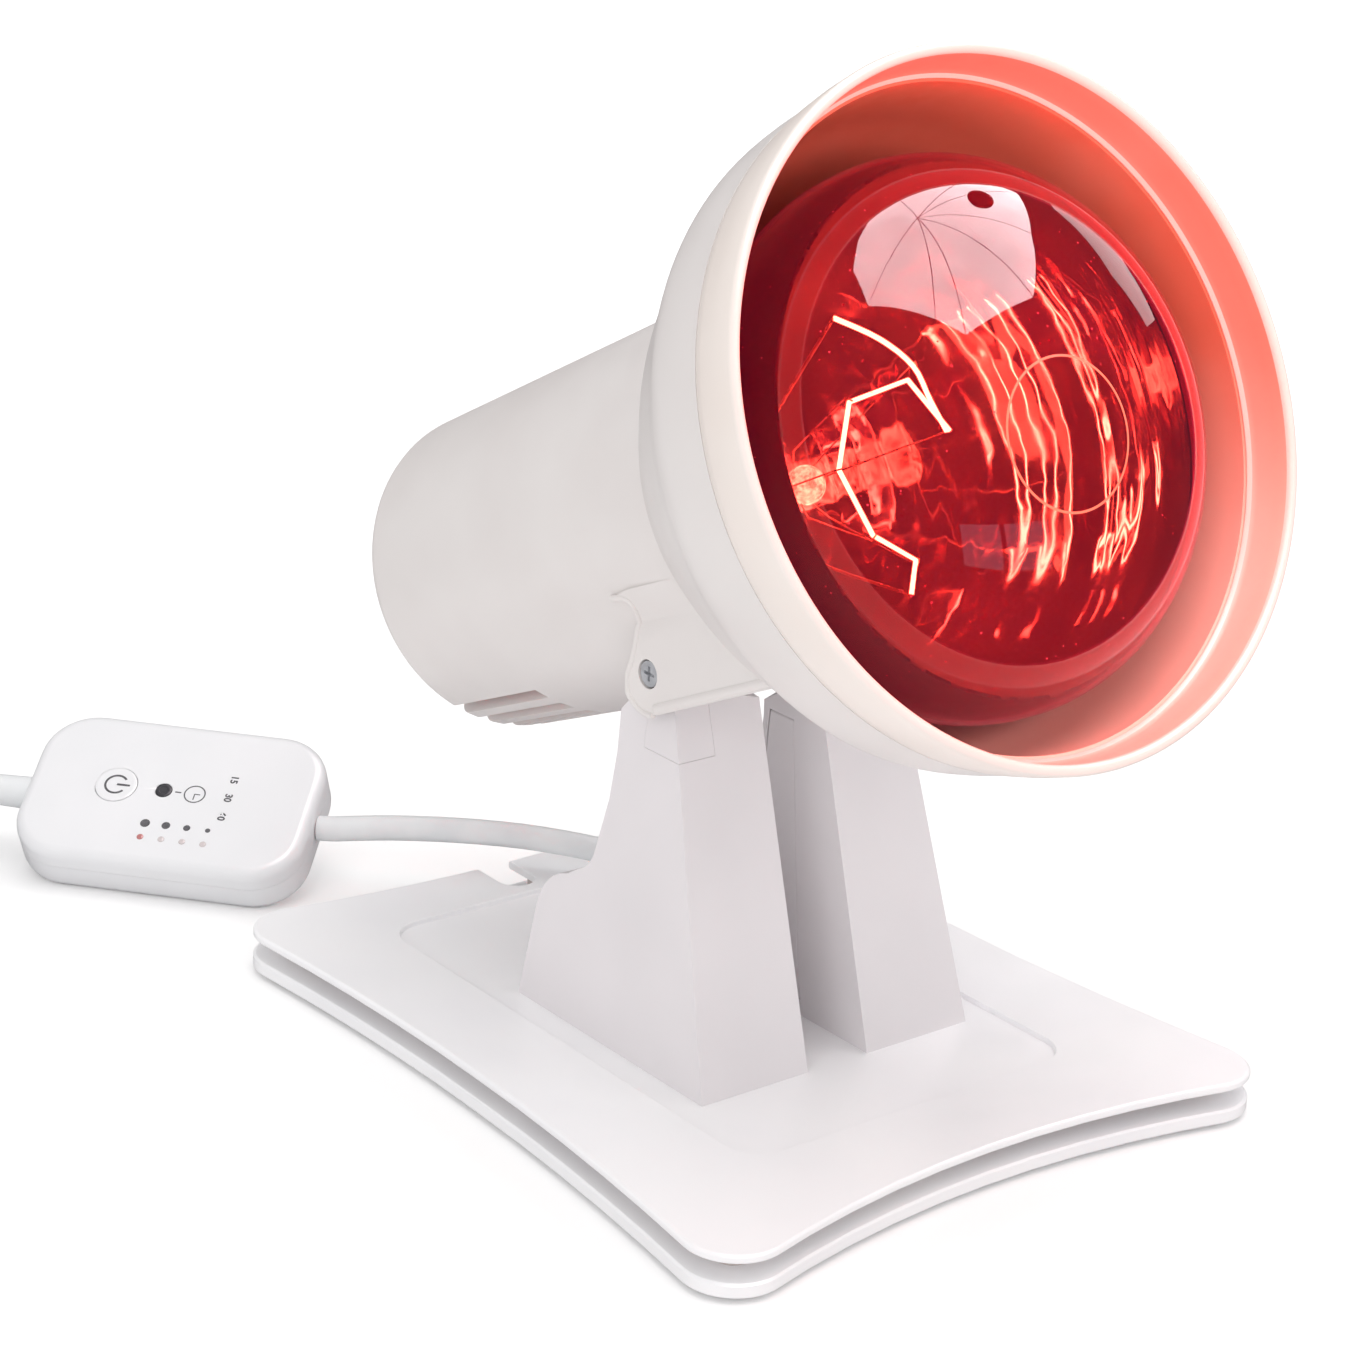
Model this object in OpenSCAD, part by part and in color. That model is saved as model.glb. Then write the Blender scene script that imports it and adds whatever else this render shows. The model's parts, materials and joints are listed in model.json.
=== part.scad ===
// Infrared heat therapy lamp: a tilting bell-shaped head with a red reflector
// bulb, two tapered uprights on a waisted two-plate base, and an in-line
// controller on the mains lead.  Millimetres, +Z up, the lamp faces -Y, and
// the origin is on the standing surface under the middle of the lamp's box.

/* [Base] */
// Length of the base along its middle line
base_l = 185; // [175:1:225]
// Width of the base at its waist
base_w = 149; // [140:1:180]
// How much wider each side is at the front corners than at the waist
side_flare = 11; // [3:0.5:13]
// How far the front corners reach past the middle of the front edge
front_bow = 13.5; // [5:0.5:16]
// How far the rear corners reach past the middle of the rear edge
rear_bow = 8.5; // [3:0.5:12]
// Corner radius of both plates
corner_r = 12; // [10:0.5:16]
// Thickness of the upper plate
cover_t = 2.2; // [1.8:0.1:3]
// Thickness of the lower plate
tray_t = 3.6; // [3:0.1:5]
// Height of the groove between the plates
groove_h = 4.6; // [4.2:0.1:8]
// Depth of the groove, from the plates' edge to its wall
groove_d = 8; // [6:0.5:10]
// Height that the rubber feet stand proud
foot_h = 1.2; // [0.6:0.1:3]
// Diameter of a rubber foot
foot_d = 14; // [10:0.5:18]
// Length of the sunken field in the upper plate
field_l = 142.6; // [136:0.2:150]
// Width of the sunken field
field_w = 98; // [92:1:110]
// Corner radius of the sunken field
field_r = 9; // [4:0.5:14]
// Depth of the sunken field
field_d = 1.3; // [0.8:0.1:1.6]
// Width of the cord notch in the rear edge
notch_w = 10; // [8:0.5:14]
// Depth of the cord notch
notch_l = 15; // [12:0.5:16]

/* [Uprights] */
// Gap between the two uprights
upright_gap = 18; // [14:0.5:22]
// Width of an upright at its foot
upright_foot_w = 31.6; // [30:0.2:36]
// Width of an upright 83 mm above the field
upright_top_w = 24.5; // [23:0.5:26]
// Depth of an upright at its foot, front to rear
upright_foot_l = 70.7; // [66:0.1:80]
// Wall thickness of an upright
upright_wall = 2.4; // [2:0.1:3]
// Height of the pivot above the sunken field
pivot_h = 94; // [90:0.5:110]
// Width of the pivot block
block_w = 9.5; // [9:0.1:11]

/* [Head] */
// Angle of the head above the horizontal
tilt = 26; // [5:1:34]
// Outer diameter of the front rim
rim_d = 154; // [150:1:170]
// Length of the head from its closed end to the rim
head_l = 203; // [200:1:215]
// Outer diameter of the barrel at its closed end
barrel_rear_d = 80.5; // [78:0.5:82]
// Outer diameter of the barrel where the bell begins
barrel_front_d = 90.4; // [88:0.2:93]
// Wall of the head's shell
shell_wall = 2.4; // [1.8:0.1:2.8]
// Height of the head's axis above the pivot
axis_lift = 35.3; // [34.5:0.1:37]
// Thickness of an ear at its pivot boss
ear_boss_t = 4.4; // [4:0.1:6]
// Thickness of an ear
ear_t = 2.6; // [2:0.1:3]
// Number of vent slots under the rear of the barrel
vent_count = 8; // [4:2:12]
// Width of a vent slot
vent_w = 4.1; // [3:0.1:5]
// Length of a vent slot
vent_l = 39; // [20:1:45]

/* [Bulb] */
// Largest diameter of the reflector bulb
bulb_d = 122; // [116:1:126]
// Depth of the bulb's front dome
dome_h = 40; // [32:1:44]
// Diameter of the screw cap over its thread
cap_d = 26; // [25:0.1:27]
// How far the bulb's own weight drops its axis
bulb_drop = 2; // [0:0.5:3]

/* [Controller] */
// Length of the controller
ctrl_l = 78; // [70:1:100]
// Width of the controller
ctrl_w = 48; // [44:1:56]
// Thickness of the controller
ctrl_t = 15; // [13:0.5:20]
// Wall of the controller's shells
ctrl_wall = 2; // [1.6:0.1:2.4]
// Diameter of the power button
power_d = 11.2; // [9:0.1:13]
// Diameter of the timer button
timer_d = 4.4; // [3.6:0.1:5]
// Travel of both buttons
press = 0.6; // [0.3:0.1:0.8]

/* [Cords] */
// Diameter of the round mains lead
lead_d = 6.6; // [6:0.1:8]
// Turns side by side in the stored coil
coil_turns = 3; // [2:1:4]
// Layers of turns in the stored coil
coil_layers = 2; // [1:1:3]

/* [Clearances] */
// Radial running clearance of the pivot screws in the ears
pivot_clear = 0.05; // [0.02:0.01:0.1]
// Gap between the head and the tops of the uprights at every tilt
sweep_clear = 1; // [0.6:0.1:1.6]
// Seating gap between pieces that are fastened together
seat = 0.1; // [0.05:0.05:0.2]
// Gap round a button
button_clear = 0.15; // [0.1:0.05:0.3]

/* [Hidden] */
$fn = 64;

// Levels, from the standing surface up
tray_z = foot_h;
groove_z = tray_z + tray_t;
cover_z = groove_z + groove_h;
top_z = cover_z + cover_t;
field_z = top_z - field_d;
pad_z = field_z - cover_t;
pivot_z = field_z + pivot_h;

// Places along Y.  The base sits a little behind the middle of the lamp's box
base_y = 3;
field_y = base_y + 2.4;
pivot_y = base_y - 11.7;
upright_y = base_y - 41.5;

// Finishes
shell_colour = [0.90, 0.88, 0.87];
base_colour = [0.96, 0.95, 0.95];
cord_colour = [0.93, 0.94, 0.94];
steel_colour = [0.72, 0.73, 0.75];

// ---------- helpers ----------

// A smooth curve through the points, with n steps in each span
function curve_at(a, b, c, d, t) =
    0.5 * (2 * b + (c - a) * t + (2 * a - 5 * b + 4 * c - d) * t * t
    + (3 * b - a - 3 * c + d) * t * t * t);
function smooth(p, n) = concat([
    for (i = [0 : len(p) - 2], k = [0 : n - 1])
        curve_at(p[max(i - 1, 0)], p[i], p[i + 1], p[min(i + 2, len(p) - 1)], k / n)
    ], [p[len(p) - 1]]);
function arc(c, r, from, to, n) =
    [for (k = [0 : n]) let (a = from + (to - from) * k / n) c + r * [cos(a), sin(a)]];
function unit(v) = v / norm(v);

// A profile of [distance along the axis, radius] points spun round the Z axis
module spin(profile) {
    rotate_extrude() polygon([for (p = profile) [p[1], p[0]]]);
}

// A round bar from one point to another
module rod(p, q, r) {
    v = q - p;
    translate(p) rotate([0, acos(v.z / norm(v)), atan2(v.y, v.x)]) cylinder(r = r, h = norm(v));
}

// A block with four round upright corners
module rounded_block(l, w, h, r) {
    translate([-w / 2 + r, -l / 2, 0]) cube([w - 2 * r, l, h]);
    translate([-w / 2, -l / 2 + r, 0]) cube([w, l - 2 * r, h]);
    for (x = [-1, 1], y = [-1, 1])
        translate([x * (w / 2 - r), y * (l / 2 - r), 0]) cylinder(r = r, h = h);
}

// A round tube of a cord, swept along its route as one closed skin
module swept_tube(route, r, sides = 10) {
    n = len(route);
    function heading(i) = unit(route[min(i + 1, n - 1)] - route[max(i - 1, 0)]);
    rings = [for (i = [0 : n - 1])
        let (t = heading(i), s = unit(cross(t, [0, 0, 1])), u = cross(s, t))
        [for (k = [0 : sides - 1]) let (a = 360 * k / sides) route[i] + r * (s * cos(a) + u * sin(a))]];
    points = [for (ring = rings, p = ring) p];
    walls = [for (i = [0 : n - 2], k = [0 : sides - 1])
        let (a = i * sides + k, b = i * sides + (k + 1) % sides)
        [a, b, b + sides, a + sides]];
    first = [for (k = [0 : sides - 1]) sides - 1 - k];
    last = [for (k = [0 : sides - 1]) (n - 1) * sides + k];
    polyhedron(points, concat([first], walls, [last]));
}

// A pan-head screw whose head rests on the plane z = 0 and whose shank goes up
module screw_up(shank_d, length, head_d, head_h) {
    difference() {
        translate([0, 0, -head_h]) cylinder(d = head_d, h = head_h);
        for (a = [0, 90]) rotate(a)
            translate([-head_d * 0.3, -0.4, -head_h - 0.1]) cube([head_d * 0.6, 0.8, head_h * 0.5]);
    }
    cylinder(d = shank_d, h = length);
}

module both_sides() {
    for (s = [-1, 1]) scale([s, 1, 1]) children();
}

// ---------- base ----------

waist_y = 18.5;
plate_edge = 0.5;
core_wall = 2;
notch_x = -3;
notch_y = base_l / 2 - notch_l;
tray_screw_at = [for (x = [-1, 1], y = [20.5 - base_l / 2, base_l / 2 - 24.5])
    [x * (base_w / 2 - 18.5), y]];
tray_screw_d = 3;
boss_d = 8;

front_y = -base_l / 2 - front_bow;
rear_y = base_l / 2 + rear_bow;
function half_width(y) = base_w / 2 + side_flare * pow((y - waist_y) / (waist_y - front_y), 2);
front_corner = half_width(front_y);
rear_corner = half_width(rear_y);
function front_edge(x) = -base_l / 2 - front_bow * pow(x / front_corner, 2);
function rear_edge(x) = base_l / 2 + rear_bow * pow(x / rear_corner, 2);
outline_steps = 12;
steps = [0 : outline_steps - 1];
function along(from, to, k) = from + (to - from) * k / outline_steps;
outline_points = concat(
    [for (k = steps) let (x = along(-front_corner, front_corner, k)) [x, front_edge(x)]],
    [for (k = steps) let (y = along(front_y, rear_y, k)) [half_width(y), y]],
    [for (k = steps) let (x = along(rear_corner, -rear_corner, k)) [x, rear_edge(x)]],
    [for (k = steps) let (y = along(rear_y, front_y, k)) [-half_width(y), y]]
);

// The waisted outline, shrunk by inset
module base_outline(inset = 0) {
    offset(r = corner_r - inset, $fn = 40) offset(delta = -corner_r) polygon(outline_points);
}

// A plate of the base with its upper and lower edges broken
module base_plate(h) {
    shrink = [1 - 2 * plate_edge / base_w, 1 - 2 * plate_edge / base_l];
    translate([0, 0, plate_edge]) linear_extrude(h - 2 * plate_edge) base_outline();
    for (side = [0, 1])
        translate([0, 0, h / 2]) mirror([0, 0, side]) translate([0, 0, h / 2 - plate_edge])
            linear_extrude(plate_edge, scale = shrink, slices = 1) base_outline();
}

// The space of the cord notch, grown by extra on its three closed sides
module notch(extra = 0) {
    half = notch_w / 2 + extra;
    translate([notch_x, notch_y + notch_w / 2, 0]) {
        translate([0, 0, -1]) cylinder(r = half, h = top_z + 2);
        translate([-half, 0, -1]) cube([2 * half, notch_l, top_z + 2]);
    }
}

module field(depth, grow = 0) {
    translate([0, field_y - base_y, 0])
        rounded_block(field_l + 2 * grow, field_w + 2 * grow, depth, field_r + grow);
}

module base_cover() color(base_colour) translate([0, base_y, 0]) difference() {
    union() {
        translate([0, 0, cover_z]) base_plate(cover_t);
        translate([0, 0, pad_z]) field(cover_z + cover_t / 2 - pad_z, 1.2);
        for (p = tray_screw_at)
            translate([p.x, p.y, groove_z + seat]) cylinder(d = boss_d, h = groove_h + cover_t / 2);
    }
    translate([0, 0, field_z]) field(field_d + 1);
    notch();
    for (p = tray_screw_at) translate([p.x, p.y, groove_z - 1]) cylinder(d = tray_screw_d, h = groove_h + 2);
    for (p = upright_screw_at, s = [-1, 1])
        translate([s * p.x, p.y - base_y, pad_z - 1]) cylinder(d = upright_screw_d, h = cover_t + 2);
}

module base_core() color(base_colour) translate([0, base_y, groove_z]) difference() {
    union() {
        difference() {
            linear_extrude(groove_h) base_outline(groove_d);
            translate([0, 0, -1]) linear_extrude(groove_h + 2) base_outline(groove_d + core_wall);
        }
        intersection() {
            linear_extrude(groove_h) base_outline(groove_d);
            notch(core_wall + 0.4);
        }
    }
    notch(0.4);
}

module base_tray() color(base_colour) translate([0, base_y, tray_z]) difference() {
    base_plate(tray_t);
    translate([0, 0, -tray_z]) notch();
    for (p = tray_screw_at) translate([p.x, p.y, -1]) {
        cylinder(d = tray_screw_d + 2 * seat, h = tray_t + 2);
        cylinder(d = 6.4, h = 3);
    }
    for (p = foot_at) translate([p.x, p.y, -1]) cylinder(d = foot_d + 2 * seat, h = 2);
}

foot_at = [for (x = [-1, 1], p = [[6.5, 7.5 - base_l / 2], [10.5, base_l / 2 - 10.5]])
    [x * (base_w / 2 - p.x), p.y]];
foot_seat = 1;
module rubber_feet() color([0.25, 0.25, 0.26]) for (p = foot_at) translate([p.x, base_y + p.y, 0])
    cylinder(d1 = foot_d - 1.2, d2 = foot_d, h = tray_z + foot_seat);

module tray_screws() color(steel_colour) for (p = tray_screw_at)
    translate([p.x, base_y + p.y, tray_z + 2]) screw_up(tray_screw_d, 6.5, 5.8, 1.6);

ballast_t = 2.4;
module base_ballast() color(steel_colour) difference() {
    translate([0, field_y, groove_z + seat]) rounded_block(118, 80, ballast_t, 4);
    for (p = upright_screw_at, s = [-1, 1])
        translate([s * p.x, p.y, groove_z]) cylinder(d = 10, h = ballast_t + 1);
}

// ---------- uprights ----------

upright_screw_d = 3.5;
upright_screw_at = [for (y = [12, upright_foot_l - 12.7]) [upright_gap / 2 + 14, upright_y + y]];
inner_x = upright_gap / 2;
taper_h = 83;
upright_lean = 25.1;
block_z = pivot_z - 20;
block_back_y = pivot_y + 5.2;

// The side view: a raked front, and a back with a low foot, a round shoulder and a hollow above it
back_y = upright_foot_l;
shoulder_r = 13;
hollow_r = 8;
upright_side = concat(
    [[0, 0], [upright_lean, taper_h], [upright_lean + 2.5, pivot_h - 2]],
    [[34, pivot_h - 1], [44.7, pivot_h - 14]],
    [[44.3, pivot_h - 24], [45.2, pivot_h - 36]],
    arc([back_y - 22.6 + hollow_r, pivot_h - 48.5], hollow_r, 188, 248, 5),
    arc([back_y - 16.2, 22.6], shoulder_r, 78, 8, 6),
    [[back_y, 0]]
);

// The front view: an upright inner face and a tapered outer face
function outer_x(z) = inner_x + upright_foot_w - (upright_foot_w - upright_top_w) * z / taper_h;
module upright_front(inset = 0) {
    polygon([
        [inner_x + inset, inset], [outer_x(0) - inset, inset],
        [outer_x(pivot_h) - inset, pivot_h], [inner_x + inset, pivot_h]
    ]);
}

module upright_block(inset = 0) intersection() {
    translate([0, upright_y, field_z]) rotate([90, 0, 90]) linear_extrude(base_w / 2)
        offset(delta = -inset) polygon(upright_side);
    translate([0, upright_y + upright_foot_l + 1, field_z]) rotate([90, 0, 0])
        linear_extrude(upright_foot_l + 2) upright_front(inset);
}

// Everywhere that the barrel passes as the head tilts, with its clearance
tilt_low = -4;
tilt_high = 34;
module head_sweep() {
    for (t = [tilt_low, (tilt_low + tilt_high) / 2, tilt_high])
        head_place(t) translate([0, 0, -head_l / 2]) {
            cylinder(r1 = barrel_rear_d / 2 + sweep_clear, r2 = barrel_front_d / 2 + sweep_clear,
                h = head_l / 2 + bell_a);
            translate([0, 0, head_l / 2 + bell_a])
                cylinder(r1 = barrel_front_d / 2 + sweep_clear, r2 = bell_mid_r + sweep_clear,
                    h = bell_mid_a - bell_a);
        }
}

// Side view of the inner cover: its front edge leans with the upright's front, and its back edge
// follows the upright's back inside the wall
cover_top = pivot_h - 21.5;
cover_depth = 2;
cover_side = [
    [24.5, 4], [26.3, 12.6], [33.5, cover_top], [42.2, cover_top], [43.4, pivot_h - 44],
    [back_y - 23.7, 40], [back_y - 10.7, 29], [back_y - 4.7, 18], [back_y - 3.7, 4]
];
module inner_cover_shape(gap) {
    translate([inner_x, upright_y, field_z]) rotate([90, 0, 90]) linear_extrude(cover_depth + gap)
        offset(delta = gap) polygon(cover_side);
}

module upright() difference() {
    union() {
        difference() {
            upright_block();
            upright_block(upright_wall);
        }
        for (p = upright_screw_at) translate([p.x, p.y, field_z]) cylinder(d = 9, h = 16);
    }
    translate([-0.1, 0, 0]) inner_cover_shape(seat);
    translate([knuckle_in - seat, block_back_y - 40, block_z]) cube([40, 40 + seat, pivot_h]);
    at_pivot(knuckle_in - seat) cylinder(r = knuckle_r + seat, h = 40);
    head_sweep();
    for (p = upright_screw_at) translate([p.x, p.y, field_z - 1]) cylinder(d = 2.9, h = 13);
}

module left_upright() color(shell_colour) mirror([1, 0, 0]) upright();

module upright_screws() color(steel_colour) for (p = upright_screw_at, s = [-1, 1])
    translate([s * p.x, p.y, pad_z - seat]) screw_up(2.8, 13, 6.4, 2);

relief_x = 26;
relief_z = field_z + 7;
relief_y = upright_y + upright_foot_l - 0.2;
relief_r = 5.4;
module right_upright() color(shell_colour) difference() {
    upright();
    translate([relief_x, relief_y - 8, relief_z]) rotate([-90, 0, 0])
        cylinder(r = relief_r - 1 + seat, h = 12);
}

module inner_cover() difference() {
    inner_cover_shape(0);
    head_sweep();
}
module left_inner_cover() color(shell_colour) mirror([1, 0, 0]) inner_cover();
module right_inner_cover() color(shell_colour) inner_cover();

// ---------- pivots ----------

pivot_d = 4;
knuckle_r = 8.6;
knuckle_out = outer_x(pivot_h - knuckle_r);
knuckle_in = knuckle_out - block_w;
washer_t = 0.6;
nut_t = 3.2;
ear_in = knuckle_out + washer_t + 2 * seat;
ear_x = ear_in + ear_boss_t;

module at_pivot(x) translate([x, pivot_y, pivot_z]) rotate([0, 90, 0]) children();

module pivot_block() difference() {
    union() {
        difference() {
            intersection() {
                upright_block();
                translate([knuckle_in, block_back_y - 40, block_z + seat]) cube([40, 40, pivot_h]);
            }
            head_sweep();
        }
        at_pivot(knuckle_in) cylinder(r = knuckle_r, h = block_w);
    }
    at_pivot(knuckle_in - 1) cylinder(d = pivot_d + 2 * seat, h = block_w + 2);
    at_pivot(knuckle_in - 1) cylinder(d = 8.3, h = nut_t + 1, $fn = 6);
}
module left_pivot_block() color(shell_colour) mirror([1, 0, 0]) pivot_block();
module right_pivot_block() color(shell_colour) pivot_block();

counterbore = 2.6;
module pivot_screws() color(steel_colour) both_sides()
    at_pivot(ear_x - counterbore + 0.05) mirror([0, 0, 1])
        screw_up(pivot_d, ear_x - counterbore - knuckle_in - 0.4, 6, 2.2);

module pivot_nuts() color(steel_colour) both_sides() at_pivot(knuckle_in + seat) difference() {
    cylinder(d = 8.08, h = nut_t - 2 * seat, $fn = 6);
    translate([0, 0, -1]) cylinder(d = pivot_d + seat, h = nut_t + 2);
}

module friction_washers() color([0.2, 0.2, 0.2]) both_sides() at_pivot(knuckle_out + seat) difference() {
    cylinder(r = 6, h = washer_t);
    translate([0, 0, -1]) cylinder(d = pivot_d + 2 * seat, h = washer_t + 2);
}

// ---------- head ----------

// Places along the head's own axis, measured forward from the plane of the pivots
pivot_a = 2.7;
rim_a = 102;
rear_a = rim_a - head_l;
bell_a = 25;
bell_mid_a = 45;
ring_a = 87.2;
ring_step_a = 90.6;
ring_r = rim_d / 2 - 2.1;
shoulder_a = 70;
end_fillet = 5;

// Puts the head's own frame (Z along its axis, Y up) at an angle of tilt
module head_place(angle = tilt) {
    translate([0, pivot_y, pivot_z]) rotate([90 - angle, 0, 0])
        translate([0, axis_lift, -pivot_a]) children();
}

// The bell swells from the barrel to the ring: [place, share of the swell]
function bell_r(share) = barrel_front_d / 2 + (ring_r - barrel_front_d / 2) * share;
bell_mid_r = bell_r(0.458);
bell_outer = smooth([for (p = [
    [bell_a, 0], [bell_a + 7, 0.165], [bell_mid_a, 0.458], [bell_mid_a + 15, 0.734],
    [shoulder_a - 2, 0.892], [shoulder_a + 6, 0.956], [ring_a, 1]
]) [p[0], bell_r(p[1])]], 3);
rear_outer = concat(
    [[rear_a, 0]],
    [for (p = arc([end_fillet - barrel_rear_d / 2, rear_a + end_fillet], end_fillet, 270, 180, 6))
        [p.y, -p.x]]
);
shell_outer = concat(rear_outer, bell_outer);
function inward(p, wall) = [for (q = p) [q[0], max(q[1] - wall, 0)]];
shell_inner = concat(
    [[rear_a + shell_wall, 0], [rear_a + shell_wall, barrel_rear_d / 2 - end_fillet],
     [rear_a + end_fillet, barrel_rear_d / 2 - shell_wall - 0.6]],
    inward(bell_outer, shell_wall)
);

function reverse(p) = [for (i = [len(p) - 1 : -1 : 0]) p[i]];

vent_pitch = 10.5;
pocket_r = knuckle_r + 1.6;
pocket_wall = 1.8;
boss_at = [[0, 24], [0, -24]];
holder_a = -72;

// Side view of an ear from its pivot, along the axis and up: a hooked top corner, an S-shaped back
// and a round chin.  Above the flat ear the same outline goes on as a saddle on the barrel, flush
// with the start of the bell and a little proud behind it
ear_top = 19.2;
chin_r = 9.2;
bead_r = 1.5;
ear_back = smooth([
    [-2.4, 18.3], [1.6, 17.5], [3.2, 15.6], [2, 12.4], [0.2, 10.4], [-3.2, 5.6], [-7.6, 1]
], 3);
ear_side = concat(
    ear_back, arc([-0.2, -0.2], chin_r, 172, 266, 7),
    [[45, -0.2 - chin_r], [45, ear_top - 1], [4.8, ear_top]]
);

module ear_prism(from, to)
    translate([to, 0, 0]) rotate([0, -90, 0]) linear_extrude(to - from) polygon(ear_side);

// One ear, with the boss of its pivot and the bead along its lower edge
module ear() translate([0, -axis_lift, pivot_a]) {
    ear_prism(ear_x - ear_t, ear_x);
    translate([ear_in, 0, 0]) rotate([0, 90, 0]) cylinder(r = 6.5, h = ear_boss_t);
    bead = [ear_x - bead_r + 0.6, bead_r - chin_r - 0.2, 0];
    rod(bead, bead + [0, 0, 44], bead_r);
    translate(bead) sphere(r = bead_r, $fn = 24);
    intersection() {
        ear_prism(ear_x - ear_t, ear_x + 8);
        translate([0, axis_lift, -20]) cylinder(d = barrel_front_d, h = bell_a - pivot_a + 20);
    }
}

module pivot_pocket(r, inner) both_sides()
    translate([inner, -axis_lift, pivot_a]) rotate([0, 90, 0]) cylinder(r = r, h = ear_x - ear_t - inner);

module head_shell() color(shell_colour) head_place() difference() {
    union() {
        difference() {
            union() {
                spin(concat(shell_outer, [[ring_a, 0]]));
                both_sides() intersection() {
                    ear();
                    translate([0, 0, bell_mid_a - 60]) cylinder(r = bell_mid_r + 1.6, h = 62);
                }
            }
            spin(concat(shell_inner, [[ring_a + 1, shell_inner[len(shell_inner) - 1][1]], [ring_a + 1, 0]]));
        }
        intersection() {
            pivot_pocket(pocket_r + pocket_wall, knuckle_in - seat - 1 - pocket_wall);
            translate([0, 0, -40]) cylinder(r = barrel_front_d / 2 - 0.5, h = 80);
        }
        for (p = boss_at)
            translate([p.x, p.y, rear_a + 1]) cylinder(r = 4.5, h = holder_a - rear_a - 1 - seat);
    }
    pivot_pocket(pocket_r, knuckle_in - seat - 1);
    both_sides() translate([0, -axis_lift, pivot_a]) rotate([0, 90, 0]) {
        cylinder(d = pivot_d + 2 * pivot_clear, h = ear_x + 1);
        translate([0, 0, ear_x - counterbore]) cylinder(d = 6.8, h = counterbore + 1);
    }
    for (k = [0 : vent_count - 1]) rotate(-90 + vent_pitch * (k - (vent_count - 1) / 2))
        translate([barrel_rear_d / 2 - 9, -vent_w / 2, rear_a - 1]) cube([14, vent_w, vent_l + 6]);
    for (p = boss_at) translate([p.x, p.y, holder_a - 12]) cylinder(d = 3.2, h = 14);
}

// The rim is its own ring, pressed over the bell's lip
rim_lip = 2.7;
module front_ring() color([0.97, 0.95, 0.93]) head_place() difference() {
    spin([[ring_a, 0], [ring_a, ring_r], [ring_a + 3, ring_r + 0.7], [rim_a - 0.8, rim_d / 2 - 0.1],
        [rim_a - 0.2, rim_d / 2 - 0.5], [rim_a, rim_d / 2 - 1.1], [rim_a, 0]]);
    spin([[ring_a - 1, 0], [ring_a - 1, ring_r - shell_wall], [ring_step_a, ring_r - shell_wall],
        [ring_step_a + 0.6, ring_r - shell_wall + 0.8], [rim_a - 0.8, rim_d / 2 - rim_lip],
        [rim_a + 0.1, rim_d / 2 - rim_lip + 0.9], [rim_a + 0.1, 0]]);
}

// Thin heat-resisting liner that follows the inside of the bell
liner_gap = 0.3;
liner_t = 0.8;
liner_a = 30;
liner_skin = [for (p = inward(bell_outer, shell_wall + liner_gap)) if (p[0] > liner_a) p];
module heat_liner() color([0.80, 0.72, 0.66]) head_place() {
    front_r = ring_r - shell_wall - liner_gap;
    skin = concat(liner_skin, [[ring_step_a, front_r]]);
    spin(concat(skin, reverse(inward(skin, liner_t))));
}

// ---------- lamp holder ----------

cap_a = -62;
neck_a = -36;
holder_front_a = neck_a - 2;
thread_t = 0.5;

module holder_plate() color(steel_colour) head_place() difference() {
    translate([0, -bulb_drop / 2, holder_a]) rounded_block(58, 20, 1.5, 6);
    for (p = boss_at) translate([p.x, p.y, holder_a - 1]) cylinder(d = 3.6, h = 4);
}

module holder_screws() color(steel_colour) head_place() for (p = boss_at)
    translate([p.x, p.y, holder_a + 1.5]) mirror([0, 0, 1]) screw_up(3, 9, 5.6, 1.8);

module bulb_place() head_place() translate([0, -bulb_drop, 0]) children();

module lamp_holder() color([0.95, 0.94, 0.90]) bulb_place() difference() {
    union() {
        translate([0, 0, holder_a + 1.5 + seat]) cylinder(r = 19, h = 9);
        translate([0, 0, holder_a + 9]) cylinder(r1 = 19, r2 = 17.5, h = holder_front_a - holder_a - 9);
    }
    translate([0, 0, cap_a - 3]) cylinder(r = cap_d / 2 + thread_t + 2 * seat + 0.1, h = 40);
    for (s = [-1, 1]) translate([s * 10, 0, holder_a]) cylinder(r = 1.6, h = 8);
}

module holder_thread() color([0.80, 0.70, 0.45]) bulb_place() difference() {
    translate([0, 0, cap_a - 2]) cylinder(r = cap_d / 2 + thread_t + seat, h = 22);
    translate([0, 0, cap_a - 3]) cylinder(r = cap_d / 2 + seat, h = 24);
}

module holder_contact() color([0.80, 0.70, 0.45]) bulb_place() {
    translate([-5, -2, cap_a - 3 + seat]) cube([10, 4, 0.6]);
    translate([0, 0, cap_a - 3 + seat]) cylinder(r = 2, h = 1.7);
}

// ---------- bulb ----------

wide_a = 76;
glass_t = 1;
function dome_r(a, r, h) = r * sqrt(max(1 - pow((a - wide_a) / h, 2), 0));
dome_steps = 14;
function dome(r, h) = [for (k = [0 : dome_steps])
    let (a = wide_a + h * sin(90 * k / dome_steps)) [a, k == dome_steps ? 0 : dome_r(a, r, h)]];
// The flare swells from the neck to the widest ring: [place, share of the swell]
function flare_r(share) = cap_d / 2 + 0.8 + (bulb_d / 2 - cap_d / 2 - 0.8) * share;
flare_outer = smooth([for (p = [
    [neck_a, 0], [-26, 0.068], [-12, 0.163], [6, 0.322], [25, 0.53],
    [45, 0.767], [60, 0.92], [70, 0.987], [wide_a, 1]
]) [p[0], flare_r(p[1])]], 3);
bulb_outer = concat(flare_outer, dome(bulb_d / 2, dome_h));
bulb_inner = concat(inward(flare_outer, glass_t), dome(bulb_d / 2 - glass_t, dome_h - glass_t));

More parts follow.
